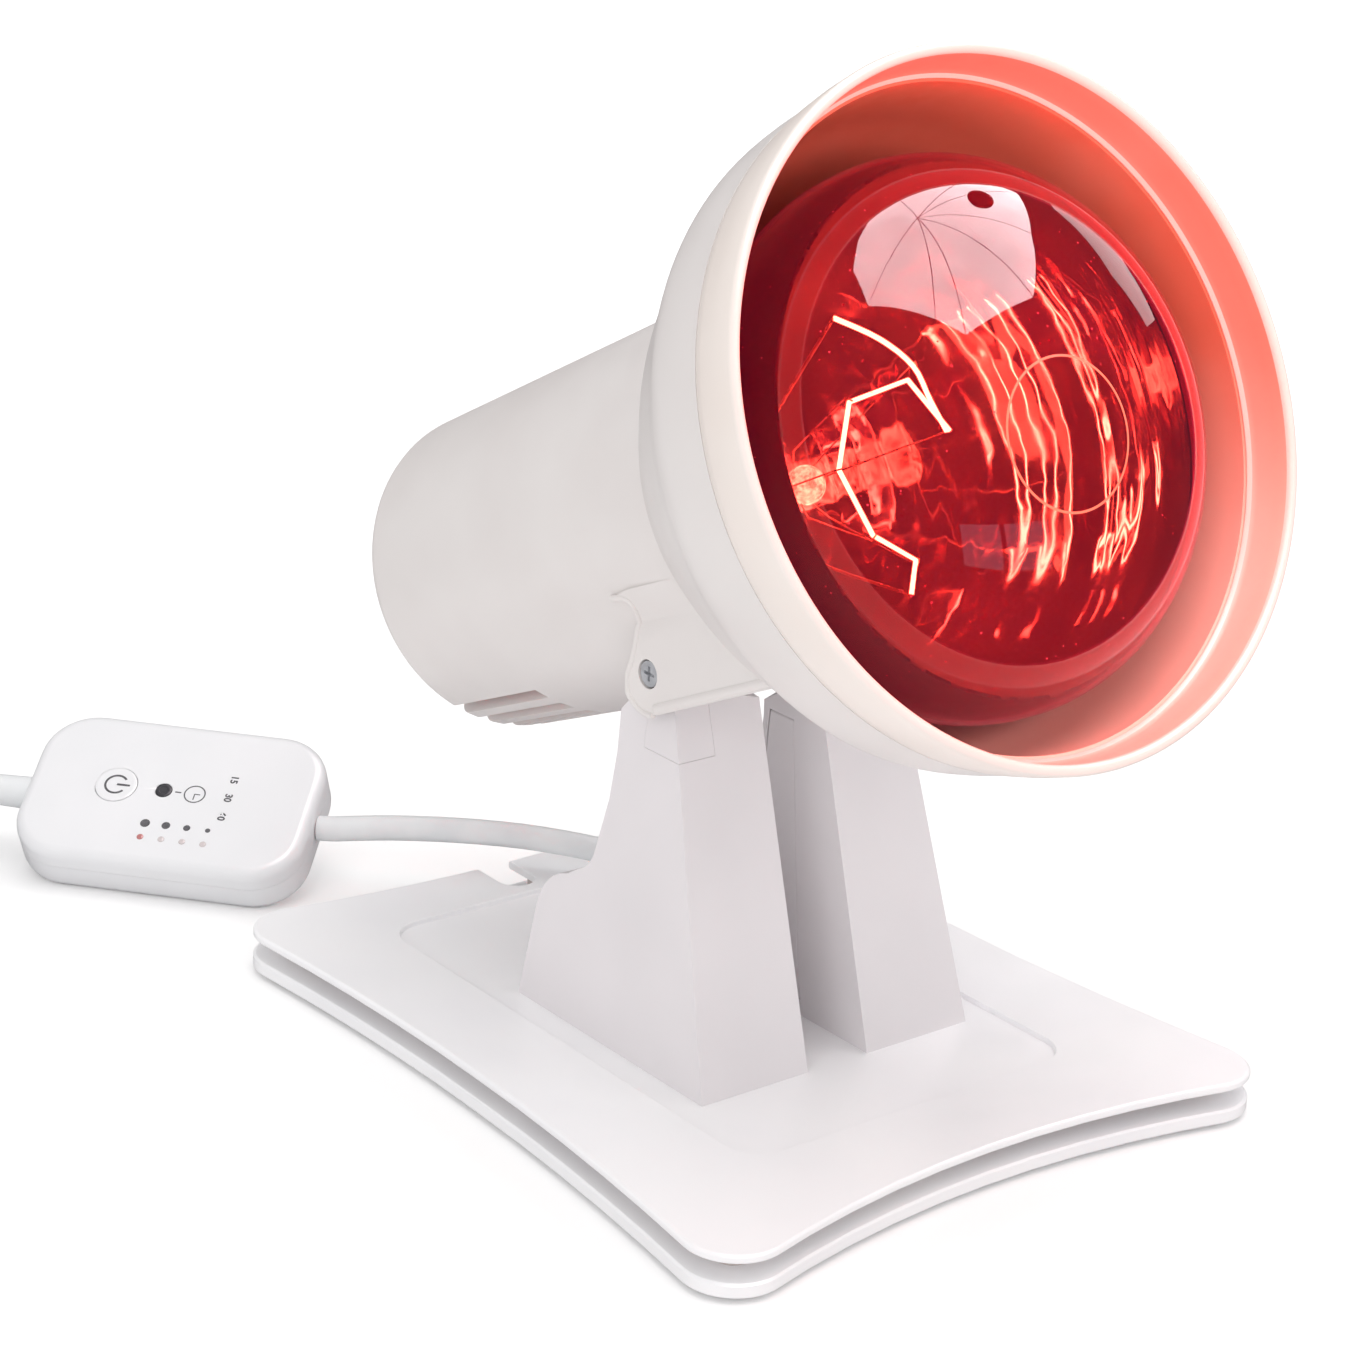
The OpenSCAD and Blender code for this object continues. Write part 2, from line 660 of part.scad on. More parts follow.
module bulb_glass() color([0.75, 0.05, 0.08, 0.6]) bulb_place() difference() {
    spin(concat([[neck_a, 0]], bulb_outer));
    spin(concat([[neck_a + glass_t, 0], [neck_a + glass_t, cap_d / 2 - 0.2]],
        [for (p = bulb_inner) if (p[0] > neck_a + glass_t) p]));
}

// Mirror coat on the inside of the flare, ending a little way up the dome
mirror_gap = 0.1;
mirror_front_a = wide_a + 13;
mirror_skin = [for (p = inward(bulb_inner, mirror_gap)) if (p[0] > -20 && p[0] < mirror_front_a) p];
module bulb_mirror() color([0.85, 0.75, 0.75]) bulb_place()
    spin(concat(mirror_skin, reverse(inward(mirror_skin, 0.3))));

cap_wall = 0.5;
insulator_h = 3;
module bulb_cap() color([0.80, 0.80, 0.78]) bulb_place() difference() {
    union() {
        translate([0, 0, cap_a + insulator_h + seat]) cylinder(d1 = cap_d - 5, d2 = cap_d, h = 3);
        translate([0, 0, cap_a + insulator_h + 3]) cylinder(d = cap_d, h = 17);
        translate([0, 0, neck_a - 3.1]) cylinder(d1 = cap_d, d2 = cap_d + 1.6, h = 3);
        translate([0, 0, cap_a + insulator_h + 19])
            cylinder(d = cap_d, h = neck_a - cap_a - insulator_h - 22);
    }
    translate([0, 0, cap_a + insulator_h + 3]) cylinder(d = cap_d - 2 * cap_wall, h = 40);
}

module bulb_insulator() color([0.1, 0.1, 0.1]) bulb_place() difference() {
    translate([0, 0, cap_a]) cylinder(d1 = cap_d - 12, d2 = cap_d - 6, h = insulator_h);
    translate([0, 0, cap_a - 1]) cylinder(r = 3.2, h = insulator_h + 2);
}

module bulb_contact() color([0.80, 0.80, 0.78]) bulb_place()
    translate([0, 0, cap_a - 1]) cylinder(r1 = 2.4, r2 = 3.1, h = insulator_h);

stem_top = 24.4;
module bulb_stem() color([0.8, 0.8, 0.82, 0.5]) bulb_place() {
    translate([0, 0, neck_a + glass_t]) cylinder(r1 = 9, r2 = 4, h = 14);
    translate([0, 0, neck_a + glass_t + 13]) cylinder(r = 4, h = stem_top - neck_a - glass_t - 16);
    translate([0, 0, stem_top]) sphere(r = 4.6);
}

// The filament is strung in two runs round the axis: a bow over the top, and an open ring
filament_t = 0.6;
bow_points = [[-2.6, 32.8, 50], [9, 26.7, 50], [16.8, 19.6, 50], [19.4, 11.6, 50], [22.1, 4.1, 50]];
ring_points = [
    [21.5, 4, 51.6], [13.4, 16.7, 51], [-8, 13.6, 55], [-16, -0.4, 56], [-10, -15.5, 55],
    [4.6, -22.4, 50], [2, -29.5, 49]
];
filament_ends = [bow_points[0], ring_points[len(ring_points) - 1]];
held_points = [bow_points[2], bow_points[4], for (k = [2 : 5]) ring_points[k]];
module filament() color([1, 0.85, 0.4]) bulb_place() {
    swept_tube(smooth(bow_points, 2), filament_t, 6);
    swept_tube(ring_points, filament_t, 6);
}

// A wire from the side of the stem at height a to just short of a point of the filament
module stem_wire(p, from_r, a, r) {
    side = unit([p.x, p.y, 0]);
    start = [side.x * from_r, side.y * from_r, a];
    rod(start, p - (filament_t + r + 0.1) * unit(p - start), r);
}
module filament_supports() color([0.7, 0.7, 0.7]) bulb_place()
    for (p = held_points) stem_wire(p, 4.8, stem_top, 0.3);
module lead_in_wires() color([0.75, 0.6, 0.4]) bulb_place()
    for (p = filament_ends) stem_wire(p, 4.7, -4, 0.5);

// ---------- controller ----------

ctrl_tilt = 29;
ctrl_turn = -49;
ctrl_edge = 3;
ctrl_corner = 14;
ctrl_split = 6;
ctrl_x = -64;
ctrl_y = 156;
// The case rests on the round of its lower long edge
ctrl_z = (ctrl_w / 2 - ctrl_edge) * sin(ctrl_tilt) + (ctrl_t - ctrl_edge) * cos(ctrl_tilt) + ctrl_edge;

module at_controller()
    translate([ctrl_x, ctrl_y, ctrl_z]) rotate([0, 0, ctrl_turn]) rotate([ctrl_tilt, 0, 0]) children();

// One half of the rounded case, open at depth z and shrunk by inset.  The face is at z = 0
module ctrl_half(upper, z, inset = 0) {
    r = ctrl_corner - inset;
    e = max(ctrl_edge - inset, 1);
    rounded = upper ? concat([[0, -inset]], arc([r - e, -inset - e], e, 90, 0, 4))
        : concat([[0, inset - ctrl_t]], arc([r - e, inset - ctrl_t + e], e, -90, 0, 4));
    hull() for (x = [-1, 1], y = [-1, 1])
        translate([x * (ctrl_l / 2 - inset - r), y * (ctrl_w / 2 - inset - r), 0])
            rotate_extrude($fn = 32) polygon(concat(rounded, [[r, z], [0, z]]));
}

power_at = [-15, 0.5];
timer_at = [-2, 0.5];
led_at = [for (k = [0 : 3]) [-3.7 + 5.65 * k, -15.5]];
led_d = 1.8;
ctrl_screw_at = [[-30, -15], [-30, 15], [30, -15], [30, 15]];
board_z = -ctrl_split - 1.4;

module controller_top() color(cord_colour) at_controller() difference() {
    ctrl_half(true, -ctrl_split);
    ctrl_half(true, -ctrl_split - 1, ctrl_wall);
    translate([power_at.x, power_at.y, -5]) cylinder(d = power_d + 2 * button_clear, h = 10);
    translate([timer_at.x, timer_at.y, -5]) cylinder(d = timer_d + 2 * button_clear, h = 10);
    for (p = led_at) translate([p.x, p.y, -5]) cylinder(d = led_d + 2 * seat, h = 10);
}

module controller_base() color(cord_colour) at_controller() difference() {
    union() {
        difference() {
            ctrl_half(false, -ctrl_split - seat);
            ctrl_half(false, -ctrl_split + 1, ctrl_wall);
        }
        for (p = ctrl_screw_at) translate([p.x, p.y, -ctrl_t + 1])
            cylinder(d = 5, h = ctrl_t - 1 + board_z - seat - 1.6);
    }
    for (p = ctrl_screw_at) translate([p.x, p.y, -ctrl_t - 1]) {
        cylinder(d = 2.4, h = ctrl_t);
        cylinder(d = 4.6, h = 2.4);
    }
}

module controller_screws() color(steel_colour) at_controller() for (p = ctrl_screw_at)
    translate([p.x, p.y, -ctrl_t + 1.4]) screw_up(2.2, 5.5, 4.2, 1.2);

module circuit_board() color([0.1, 0.4, 0.2]) at_controller() difference() {
    translate([0, 0, board_z - 1.6]) rounded_block(ctrl_w - 12, ctrl_l - 12, 1.6, 5);
    for (p = ctrl_screw_at) translate([p.x, p.y, board_z - 3]) cylinder(d = 2.6, h = 4);
}

switch_h = 2.6;
module tact_switches() color([0.15, 0.15, 0.15]) at_controller() for (p = [power_at, timer_at])
    translate([p.x, p.y, board_z]) {
        translate([-3, -3, 0]) cube([6, 6, switch_h - 0.8]);
        cylinder(r = 1.6, h = switch_h);
    }

// A round key with a flange that holds it under the face
module button(d, proud) {
    flange_z = -ctrl_wall - seat;
    translate([0, 0, flange_z - 0.1]) cylinder(d = d, h = proud - flange_z + 0.1);
    translate([0, 0, flange_z - 0.8]) cylinder(d = d + 1.6, h = 0.8);
    bottom = board_z + switch_h + press + 0.1;
    translate([0, 0, bottom]) cylinder(d = 2.4, h = flange_z - bottom);
}
module power_button() color(cord_colour) at_controller()
    translate([power_at.x, power_at.y, 0]) button(power_d, 0.3);
module timer_button() color([0.3, 0.3, 0.32]) at_controller()
    translate([timer_at.x, timer_at.y, 0]) button(timer_d, 0.2);

module level_leds() color([0.6, 0.5, 0.5]) at_controller() for (p = led_at)
    translate([p.x, p.y, board_z]) cylinder(d = led_d, h = -board_z);

// ---------- cords ----------

lead_r = lead_d / 2;
relief_tail = 28;

module upright_relief() color(cord_colour) translate([relief_x, relief_y, relief_z]) rotate([-90, 0, 0]) {
    translate([0, 0, seat]) cylinder(r = relief_r, h = 3);
    translate([0, 0, -3]) cylinder(r = relief_r - 1, h = 4);
    translate([0, 0, 3]) cylinder(r1 = relief_r - 0.4, r2 = lead_r + 0.4, h = relief_tail - 3);
}

// Where the leads leave the ends of the controller, at the middle of its thickness
function ctrl_point(along_case) =
    let (depth = ctrl_t / 2)
    [ctrl_x, ctrl_y, ctrl_z] + along_case * [cos(ctrl_turn), sin(ctrl_turn), 0]
    + depth * sin(ctrl_tilt) * [-sin(ctrl_turn), cos(ctrl_turn), 0] * 1 - depth * cos(ctrl_tilt) * [0, 0, 1];
ctrl_dir = [cos(ctrl_turn), sin(ctrl_turn), 0];

// The route of the lead from the controller to the upright
lamp_route = [
    [-22, 114, 19.5], [-10, 102, 20.5], [2, 90, 20.5], [13, 78, 19.5], [21, 68, 18.2]
];
module lamp_lead() color(cord_colour) {
    start = ctrl_point(ctrl_l / 2 + 0.3);
    end = [relief_x, relief_y + relief_tail + 0.2, relief_z];
    route = concat(
        [for (d = [0, 4, 8]) start + d * ctrl_dir], lamp_route, [for (d = [8, 4, 0]) end + [0, d, 0]]
    );
    swept_tube(smooth(route, 2), lead_r);
}

module mains_relief() color(cord_colour) translate(ctrl_point(-ctrl_l / 2 - 0.2)) rotate([0, 0, ctrl_turn])
    rotate([0, -90, 0]) cylinder(r1 = lead_r + 1.1, r2 = lead_r + 0.3, h = relief_tail);

// The stored length of the mains lead lies in a flat coil beside the controller
coil_x = -158;
coil_y = 188;
coil_mid_r = 37;
coil_pitch = lead_d + 0.1;
coil_out_r = coil_mid_r + coil_turns * coil_pitch / 2;
coil_in_r = coil_mid_r - coil_turns * coil_pitch / 2;
coil_h = coil_layers * coil_pitch;

mains_route = [
    [-119, 220.5, 9], [-126, 227, 5.6], [-133, 232, 3.8], [-141, 236, 3.4], [-149, 238, 3.4]
];
module mains_lead() color(cord_colour) {
    start = ctrl_point(-ctrl_l / 2 - relief_tail - 0.5);
    route = concat([for (d = [0, 4, 8]) start - d * ctrl_dir], mains_route);
    swept_tube(smooth(route, 2), lead_r);
}

module mains_coil() color(cord_colour) translate([coil_x, coil_y, 0]) difference() {
    cylinder(r = coil_out_r, h = coil_h);
    translate([0, 0, -1]) cylinder(r = coil_in_r, h = coil_h + 2);
}

module coil_tie() color([0.9, 0.9, 0.9]) translate([coil_x + coil_mid_r, coil_y, coil_h / 2]) difference() {
    w = coil_out_r - coil_in_r;
    translate([-w / 2 - 1.2, -2, -coil_h / 2]) cube([w + 2.4, 4, coil_h + 1.4]);
    translate([-w / 2 - 0.2, -3, -coil_h / 2 - 1]) cube([w + 0.4, 6, coil_h + 1.2]);
}

plug_x = coil_x - coil_out_r - lead_r - 0.25;
plug_y = 130;
plug_z = 7;
tail_route = [
    [plug_x, 196, 3.4], [plug_x, 188, 3.4], [plug_x, 180, 3.4], [plug_x, 172, 4.4],
    [plug_x, 164, 6], [plug_x, 157, 7], [plug_x, 150.3, 7]
];
module mains_tail() color(cord_colour) swept_tube(smooth(tail_route, 2), lead_r);

pin_gap = 19;
module plug_body() color(cord_colour) translate([plug_x, plug_y, plug_z]) {
    hull() for (x = [-1, 1]) translate([x * 10, 0, 0]) rotate([90, 0, 0]) cylinder(r = 6.8, h = 30, $fn = 32);
    rotate([-90, 0, 0]) cylinder(r1 = 6.2, r2 = lead_r + 0.4, h = 20);
}
module plug_pins() color([0.8, 0.7, 0.4]) for (x = [-1, 1])
    translate([plug_x + x * pin_gap / 2, plug_y - 30, plug_z]) rotate([90, 0, 0]) cylinder(d = 4, h = 19);

// ---------- one line for each node ----------
base_cover();
base_core();
base_tray();
base_ballast();
rubber_feet();
tray_screws();
upright_screws();
left_upright();
right_upright();
left_inner_cover();
right_inner_cover();
left_pivot_block();
right_pivot_block();
pivot_screws();
pivot_nuts();
friction_washers();
head_shell();
front_ring();
heat_liner();
holder_plate();
holder_screws();
lamp_holder();
holder_thread();
holder_contact();
bulb_glass();
bulb_mirror();
bulb_cap();
bulb_insulator();
bulb_contact();
bulb_stem();
lead_in_wires();
filament_supports();
filament();
controller_top();
controller_base();
controller_screws();
circuit_board();
tact_switches();
power_button();
timer_button();
level_leds();
upright_relief();
lamp_lead();
mains_relief();
mains_lead();
mains_coil();
coil_tie();
mains_tail();
plug_body();
plug_pins();
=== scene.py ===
"""Looks of an infrared heat therapy lamp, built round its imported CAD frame.

Sizes are in millimetres in the classes and turned to metres where a mesh is placed.
The head's pieces are made in the head's own frame: Z runs forward along its axis,
Y is up, and `HeadFrame` turns them into the row frame.
"""

from __future__ import annotations

import json
import logging
import math
from dataclasses import dataclass
from enum import Enum
from typing import Sequence

import bmesh
import bpy
from mathutils import Matrix, Vector

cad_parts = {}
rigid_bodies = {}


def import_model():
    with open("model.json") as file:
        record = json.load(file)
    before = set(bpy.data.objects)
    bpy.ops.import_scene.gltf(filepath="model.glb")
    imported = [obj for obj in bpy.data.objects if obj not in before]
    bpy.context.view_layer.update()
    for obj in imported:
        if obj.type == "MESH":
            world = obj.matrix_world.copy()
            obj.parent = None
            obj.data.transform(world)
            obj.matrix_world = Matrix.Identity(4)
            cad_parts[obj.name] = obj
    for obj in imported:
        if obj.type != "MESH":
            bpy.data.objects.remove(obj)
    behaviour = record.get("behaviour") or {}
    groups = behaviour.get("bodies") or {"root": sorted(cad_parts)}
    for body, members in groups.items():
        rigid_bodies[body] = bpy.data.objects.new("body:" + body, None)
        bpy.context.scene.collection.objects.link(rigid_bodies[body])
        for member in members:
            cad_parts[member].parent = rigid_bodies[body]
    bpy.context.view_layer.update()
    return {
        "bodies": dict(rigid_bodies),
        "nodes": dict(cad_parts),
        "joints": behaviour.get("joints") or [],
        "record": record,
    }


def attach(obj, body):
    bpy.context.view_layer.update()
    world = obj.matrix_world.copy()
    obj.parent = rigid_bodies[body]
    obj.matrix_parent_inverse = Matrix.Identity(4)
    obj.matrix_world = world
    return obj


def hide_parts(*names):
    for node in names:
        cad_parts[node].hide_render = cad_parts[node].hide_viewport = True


log = logging.getLogger("heat_lamp")

MM = 0.001
IMAGE_PX = 1357
SAME_POINT = 1e-6  # metres within which two vertices are one
LEVEL = 1e-9  # metres of rise below which an edge lies level
NOISE_SPAN = {"From Min": 0.3, "From Max": 0.7}  # most of what a noise texture gives lies in this range
Point2 = tuple[float, float]
Point3 = tuple[float, float, float]


class Body(Enum):
    """The CAD bodies that pieces ride on."""

    STAND = "stand"
    HEAD = "head"
    POWER = "power_key"
    TIMER = "timer_key"


class Slot(Enum):
    """The record's material slots, given with each new piece."""

    SHELL = "shell"
    BASE = "base"
    RING = "ring"
    LINER = "liner"
    CORD = "cord"
    CONTROL = "control"
    GREY_KEY = "grey_key"
    LED = "led"
    RED_GLASS = "red_glass"
    COAT = "coat"
    CLEAR_GLASS = "clear_glass"
    WIRE = "wire"
    HOT_WIRE = "hot_wire"


# --------------------------------------------------------------------------- colour and nodes


def linear(hex_colour: str, alpha: float = 1.0) -> tuple[float, float, float, float]:
    """Turns an sRGB hex colour to linear values.

    Args:
        hex_colour: The colour, such as "d7d2cf".
        alpha: The fourth value.

    Returns:
        Red, green, blue and alpha, linear.
    """

    def channel(start: int) -> float:
        """One channel, turned to linear."""
        value = int(hex_colour[start : start + 2], 16) / 255
        return value / 12.92 if value <= 0.04045 else ((value + 0.055) / 1.055) ** 2.4

    return channel(0), channel(2), channel(4), alpha


def feed(tree: bpy.types.NodeTree, node: bpy.types.Node, links: dict[str | int, object]) -> None:
    """Sets or links inputs of a node.

    Args:
        tree: The node tree.
        node: The node.
        links: Input socket to a value, or to the output socket that feeds it.
    """
    for key, value in links.items():
        if isinstance(value, bpy.types.NodeSocket):
            tree.links.new(value, node.inputs[key])
        else:
            node.inputs[key].default_value = value


def add_node(
    tree: bpy.types.NodeTree, kind: str, links: dict[str | int, object] | None = None, **settings: object
) -> bpy.types.Node:
    """Adds a node with its settings and links.

    Args:
        tree: The node tree.
        kind: The node's type name.
        links: Input socket to a value, or to the output socket that feeds it.
        **settings: The node's own properties.

    Returns:
        The new node.
    """
    node = tree.nodes.new(kind)
    for name, value in settings.items():
        setattr(node, name, value)
    feed(tree, node, links or {})
    return node


def blank_material(name: str) -> tuple[bpy.types.Material, bpy.types.NodeTree, bpy.types.Node, bpy.types.Node]:
    """Starts a node material.

    Args:
        name: The material's name.

    Returns:
        The material, its tree, its Principled shader and its output node.
    """
    material = bpy.data.materials.new(name)
    material.use_nodes = True
    tree = material.node_tree
    tree.nodes.clear()
    output = add_node(tree, "ShaderNodeOutputMaterial")
    shader = add_node(tree, "ShaderNodeBsdfPrincipled")
    tree.links.new(shader.outputs[0], output.inputs[0])
    return material, tree, shader, output


def noise(tree: bpy.types.NodeTree, size_mm: float, detail: float = 2.0) -> bpy.types.NodeSocket:
    """Noise on Object coordinates whose features are about size_mm across.

    Args:
        tree: The node tree.
        size_mm: The real size of a feature.
        detail: Octaves of finer noise.

    Returns:
        The noise's factor socket.
    """
    place = add_node(tree, "ShaderNodeTexCoord").outputs["Object"]
    links = {"Vector": place, "Scale": 1 / (size_mm * MM), "Detail": detail}
    return add_node(tree, "ShaderNodeTexNoise", links).outputs[0]


def drift(
    tree: bpy.types.NodeTree, size_mm: float, low: float, high: float, detail: float = 2.0
) -> bpy.types.NodeSocket:
    """A value that drifts over the surface.

    Args:
        tree: The node tree.
        size_mm: The real size of a patch.
        low: The value at the low end.
        high: The value at the high end.
        detail: Octaves of finer noise.

    Returns:
        The socket that gives the value.
    """
    links = {"Value": noise(tree, size_mm, detail), **NOISE_SPAN, "To Min": low, "To Max": high}
    return add_node(tree, "ShaderNodeMapRange", links).outputs[0]


def mottled(
    tree: bpy.types.NodeTree,
    size_mm: float,
    tones: tuple[str, str],
    detail: float = 2.0,
    low: float = 0.0,
    high: float = 1.0,
) -> bpy.types.NodeSocket:
    """A colour that drifts between two tones.

    Args:
        tree: The node tree.
        size_mm: The real size of a patch.
        tones: Two hex colours.
        detail: Octaves of finer noise.
        low: The least share of the second tone.
        high: Its greatest share.

    Returns:
        The colour socket.
    """
    links = {0: drift(tree, size_mm, low, high, detail), 6: linear(tones[0]), 7: linear(tones[1])}
    return add_node(tree, "ShaderNodeMix", links, data_type="RGBA").outputs[2]


def grain(
    tree: bpy.types.NodeTree, size_mm: float, height_mm: float, strength: float, detail: float = 2.0
) -> bpy.types.NodeSocket:
    """The normal of a fine even relief.

    Args:
        tree: The node tree.
        size_mm: The real size of a grain.
        height_mm: Its height.
        strength: How strongly it shows.
        detail: Octaves of finer noise.

    Returns:
        The normal socket.
    """
    links = {"Strength": strength, "Distance": height_mm * MM, "Height": noise(tree, size_mm, detail)}
    return add_node(tree, "ShaderNodeBump", links).outputs[0]


def patchy(
    tree: bpy.types.NodeTree,
    shader: bpy.types.Node,
    size_mm: float,
    tones: tuple[str, str],
    dull: tuple[float, float],
    detail: float = 2.0,
) -> None:
    """Gives a shader patches whose tone and roughness change together.

    Args:
        tree: The node tree.
        shader: The Principled shader.
        size_mm: The real size of a patch.
        tones: Its two hex colours.
        dull: Its two roughnesses.
        detail: Octaves of finer noise.
    """
    patch = drift(tree, size_mm, 0, 1, detail)
    mix = add_node(tree, "ShaderNodeMix", {0: patch, 6: linear(tones[0]), 7: linear(tones[1])}, data_type="RGBA")
    links = {"Value": patch, **NOISE_SPAN, "To Min": dull[0], "To Max": dull[1]}
    rough = add_node(tree, "ShaderNodeMapRange", links)
    feed(tree, shader, {"Base Color": mix.outputs[2], "Roughness": rough.outputs[0]})


# --------------------------------------------------------------------------- finishes


@dataclass(frozen=True)
class MouldedPlastic:
    """Injection-moulded ABS or polypropylene with a fine spark-eroded texture.

    It gives the eye an even, slightly warm white that is soft at the highlights.
    """

    name: str
    colour: str
    shade: str
    roughness: float = 0.42
    grain_mm: float = 0.7
    grain_height_mm: float = 0.012
    mottle_mm: float = 35.0
    ior: float = 1.49

    def material(self) -> bpy.types.Material:
        """The finish as a node material."""
        material, tree, shader, _ = blank_material(self.name)
        links = {
            "Base Color": mottled(tree, self.mottle_mm, (self.colour, self.shade)),
            "Roughness": drift(tree, 9.0, self.roughness - 0.04, self.roughness + 0.04),
            "Normal": grain(tree, self.grain_mm, self.grain_height_mm, 0.6, 3),
            "IOR": self.ior,
        }
        feed(tree, shader, links)
        return material


@dataclass(frozen=True)
class CordSheath:
    """Soft PVC sheath, extruded: smooth, cool white, with a broad sheen."""

    name: str = "pvc_sheath"
    tones: tuple[str, str] = ("eceeef", "e3e6e8")
    roughness: float = 0.34
    ior: float = 1.53

    def material(self) -> bpy.types.Material:
        """The finish as a node material."""
        material, tree, shader, _ = blank_material(self.name)
        patchy(tree, shader, 12.0, self.tones, (self.roughness, self.roughness + 0.08))
        feed(tree, shader, {"Normal": grain(tree, 1.6, 0.02, 0.4), "IOR": self.ior})
        return material


@dataclass(frozen=True)
class Metal:
    """Plated or rolled metal with fine drawing marks and dull patches.

    Thin zinc plate gives back less than solid metal, so its plating is a share of metallic.
    """

    name: str
    colour: str
    shade: str
    roughness: float = 0.28
    mark_mm: float = 0.5
    mark_stretch: float = 12.0
    plating: float = 1.0

    def material(self) -> bpy.types.Material:
        """The finish as a node material."""
        material, tree, shader, _ = blank_material(self.name)
        patchy(tree, shader, 3.0, (self.colour, self.shade), (self.roughness, self.roughness + 0.14), 3)
        place = add_node(tree, "ShaderNodeTexCoord").outputs["Object"]
        drawn = add_node(tree, "ShaderNodeMapping", {"Vector": place, "Scale": (1, 1, self.mark_stretch)})
        links = {"Vector": drawn.outputs[0], "Scale": 1 / (self.mark_mm * MM * self.mark_stretch), "Detail": 2.0}
        marks = add_node(tree, "ShaderNodeTexNoise", links)
        bump = add_node(tree, "ShaderNodeBump", {"Strength": 0.3, "Distance": 0.01 * MM, "Height": marks.outputs[0]})
        feed(tree, shader, {"Normal": bump.outputs[0], "Metallic": self.plating})
        return material


@dataclass(frozen=True)
class TintedGlass:
    """Blown soda-lime glass, clear or tinted in the melt, with faint cords and specks in it. Its emission is painted
    glow and painted glints, in place of the bulb's light carried in the glass.

    Lamp rays pass it straight, tinted once more, so the lamp inside lights the bell.
    """

    name: str
    colour: str
    shadow: str
    cord_height_mm: float = 0.02
    speck_mm: float = 0.0
    speck_pitch_mm: float = 2.6
    speck_colour: str = "e0405a"
    painted_glass_glow: float = 0.0
    painted_glass_glow_colour: str = "c80c60"
    painted_glints: float = 0.0
    painted_glints_colour: str = "ffd86c"

    def material(self) -> bpy.types.Material:
        """The finish as a node material."""
        material, tree, shader, output = blank_material(self.name)
        waves = grain(tree, 16.0, self.cord_height_mm, 0.25)
        glass = {"Base Color": linear(self.colour), "Roughness": 0.0, "IOR": 1.5, "Transmission Weight": 1.0}
        feed(tree, shader, {**glass, "Normal": waves})
        # Painted glow: an even emission in the glass, in place of the bulb's light scattered in it
        if self.painted_glass_glow:
            feed(tree, shader, {"Emission Color": linear(self.painted_glass_glow_colour), "Emission Strength": self.painted_glass_glow})
        # Painted glints: patches of emission in the glass, in place of filament light carried in it
        if self.painted_glints:
            glints = drift(tree, 1.4, -0.4 * self.painted_glints, self.painted_glints, 3)
            lit = add_node(tree, "ShaderNodeMath", {0: glints, 1: 0.0}, operation="MAXIMUM")
            feed(tree, shader, {"Emission Color": linear(self.painted_glints_colour), "Emission Strength": lit.outputs[0]})
        if self.speck_mm:
            self.add_specks(tree, shader)
        # A lamp's rays go straight through, so that the lamp inside lights the bell
        clear = add_node(tree, "ShaderNodeBsdfTransparent", {0: linear(self.shadow)})
        lamp_ray = add_node(tree, "ShaderNodeLightPath").outputs["Is Shadow Ray"]
        mix = add_node(tree, "ShaderNodeMixShader", {0: lamp_ray, 1: shader.outputs[0], 2: clear.outputs[0]})
        feed(tree, output, {0: mix.outputs[0]})
        return material

    def add_specks(self, tree: bpy.types.NodeTree, shader: bpy.types.Node) -> None:
        """Scatters small opaque specks in the glass.

        Args:
            tree: The node tree.
            shader: The glass.
        """
        place = add_node(tree, "ShaderNodeTexCoord").outputs["Object"]
        cells = add_node(tree, "ShaderNodeTexVoronoi", {"Vector": place, "Scale": 1 / (self.speck_pitch_mm * MM)})
        size = {0: cells.outputs["Distance"], 1: self.speck_mm / self.speck_pitch_mm}
        speck = add_node(tree, "ShaderNodeMath", size, operation="LESS_THAN")
        kept = add_node(tree, "ShaderNodeMath", {0: noise(tree, 9.0, 3), 1: 0.56}, operation="GREATER_THAN")
        mask = add_node(tree, "ShaderNodeMath", {0: speck.outputs[0], 1: kept.outputs[0]}, operation="MULTIPLY")
        tones = {0: mask.outputs[0], 6: linear(self.colour), 7: linear(self.speck_colour)}
        tone = add_node(tree, "ShaderNodeMix", tones, data_type="RGBA")
        clear = add_node(tree, "ShaderNodeMath", {0: 1.0, 1: mask.outputs[0]}, operation="SUBTRACT")
        feed(tree, shader, {"Base Color": tone.outputs[2], "Transmission Weight": clear.outputs[0]})


@dataclass(frozen=True)
class MirrorCoat:
    """Aluminium vapour coat on blown glass: bright, with the faint rings that blowing leaves."""

    name: str = "vapour_mirror"
    tones: tuple[str, str] = ("cab6ba", "b4a0a6")
    roughness: float = 0.04
    ripple_mm: float = 9.0
    ring_pitch_mm: float = 6.5
    ring_height_mm: float = 0.032

    def material(self) -> bpy.types.Material:
        """The finish as a node material."""
        material, tree, shader, _ = blank_material(self.name)
        patchy(tree, shader, 14.0, self.tones, (self.roughness, self.roughness + 0.04), 3)
        place = add_node(tree, "ShaderNodeTexCoord").outputs["Object"]
        axis = HEAD.matrix().to_3x3() @ Vector((0, 0, 1))
        along = add_node(tree, "ShaderNodeVectorMath", {0: place, 1: axis}, operation="DOT_PRODUCT").outputs["Value"]
        wobble = drift(tree, self.ripple_mm, -0.7, 0.7, 1)
        per_ring = 2 * math.pi / (self.ring_pitch_mm * MM)
        phase = add_node(tree, "ShaderNodeMath", {0: along, 1: per_ring, 2: wobble}, operation="MULTIPLY_ADD")
        rings = add_node(tree, "ShaderNodeMath", {0: phase.outputs[0]}, operation="SINE").outputs[0]
        relief = {"Strength": 1.0, "Distance": self.ring_height_mm * MM, "Height": rings}
        bump = add_node(tree, "ShaderNodeBump", relief)
        links = {"Metallic": 0.93, "Coat Weight": 0.6, "Coat Roughness": 0.02, "Normal": bump.outputs[0]}
        feed(tree, shader, links)
        return material


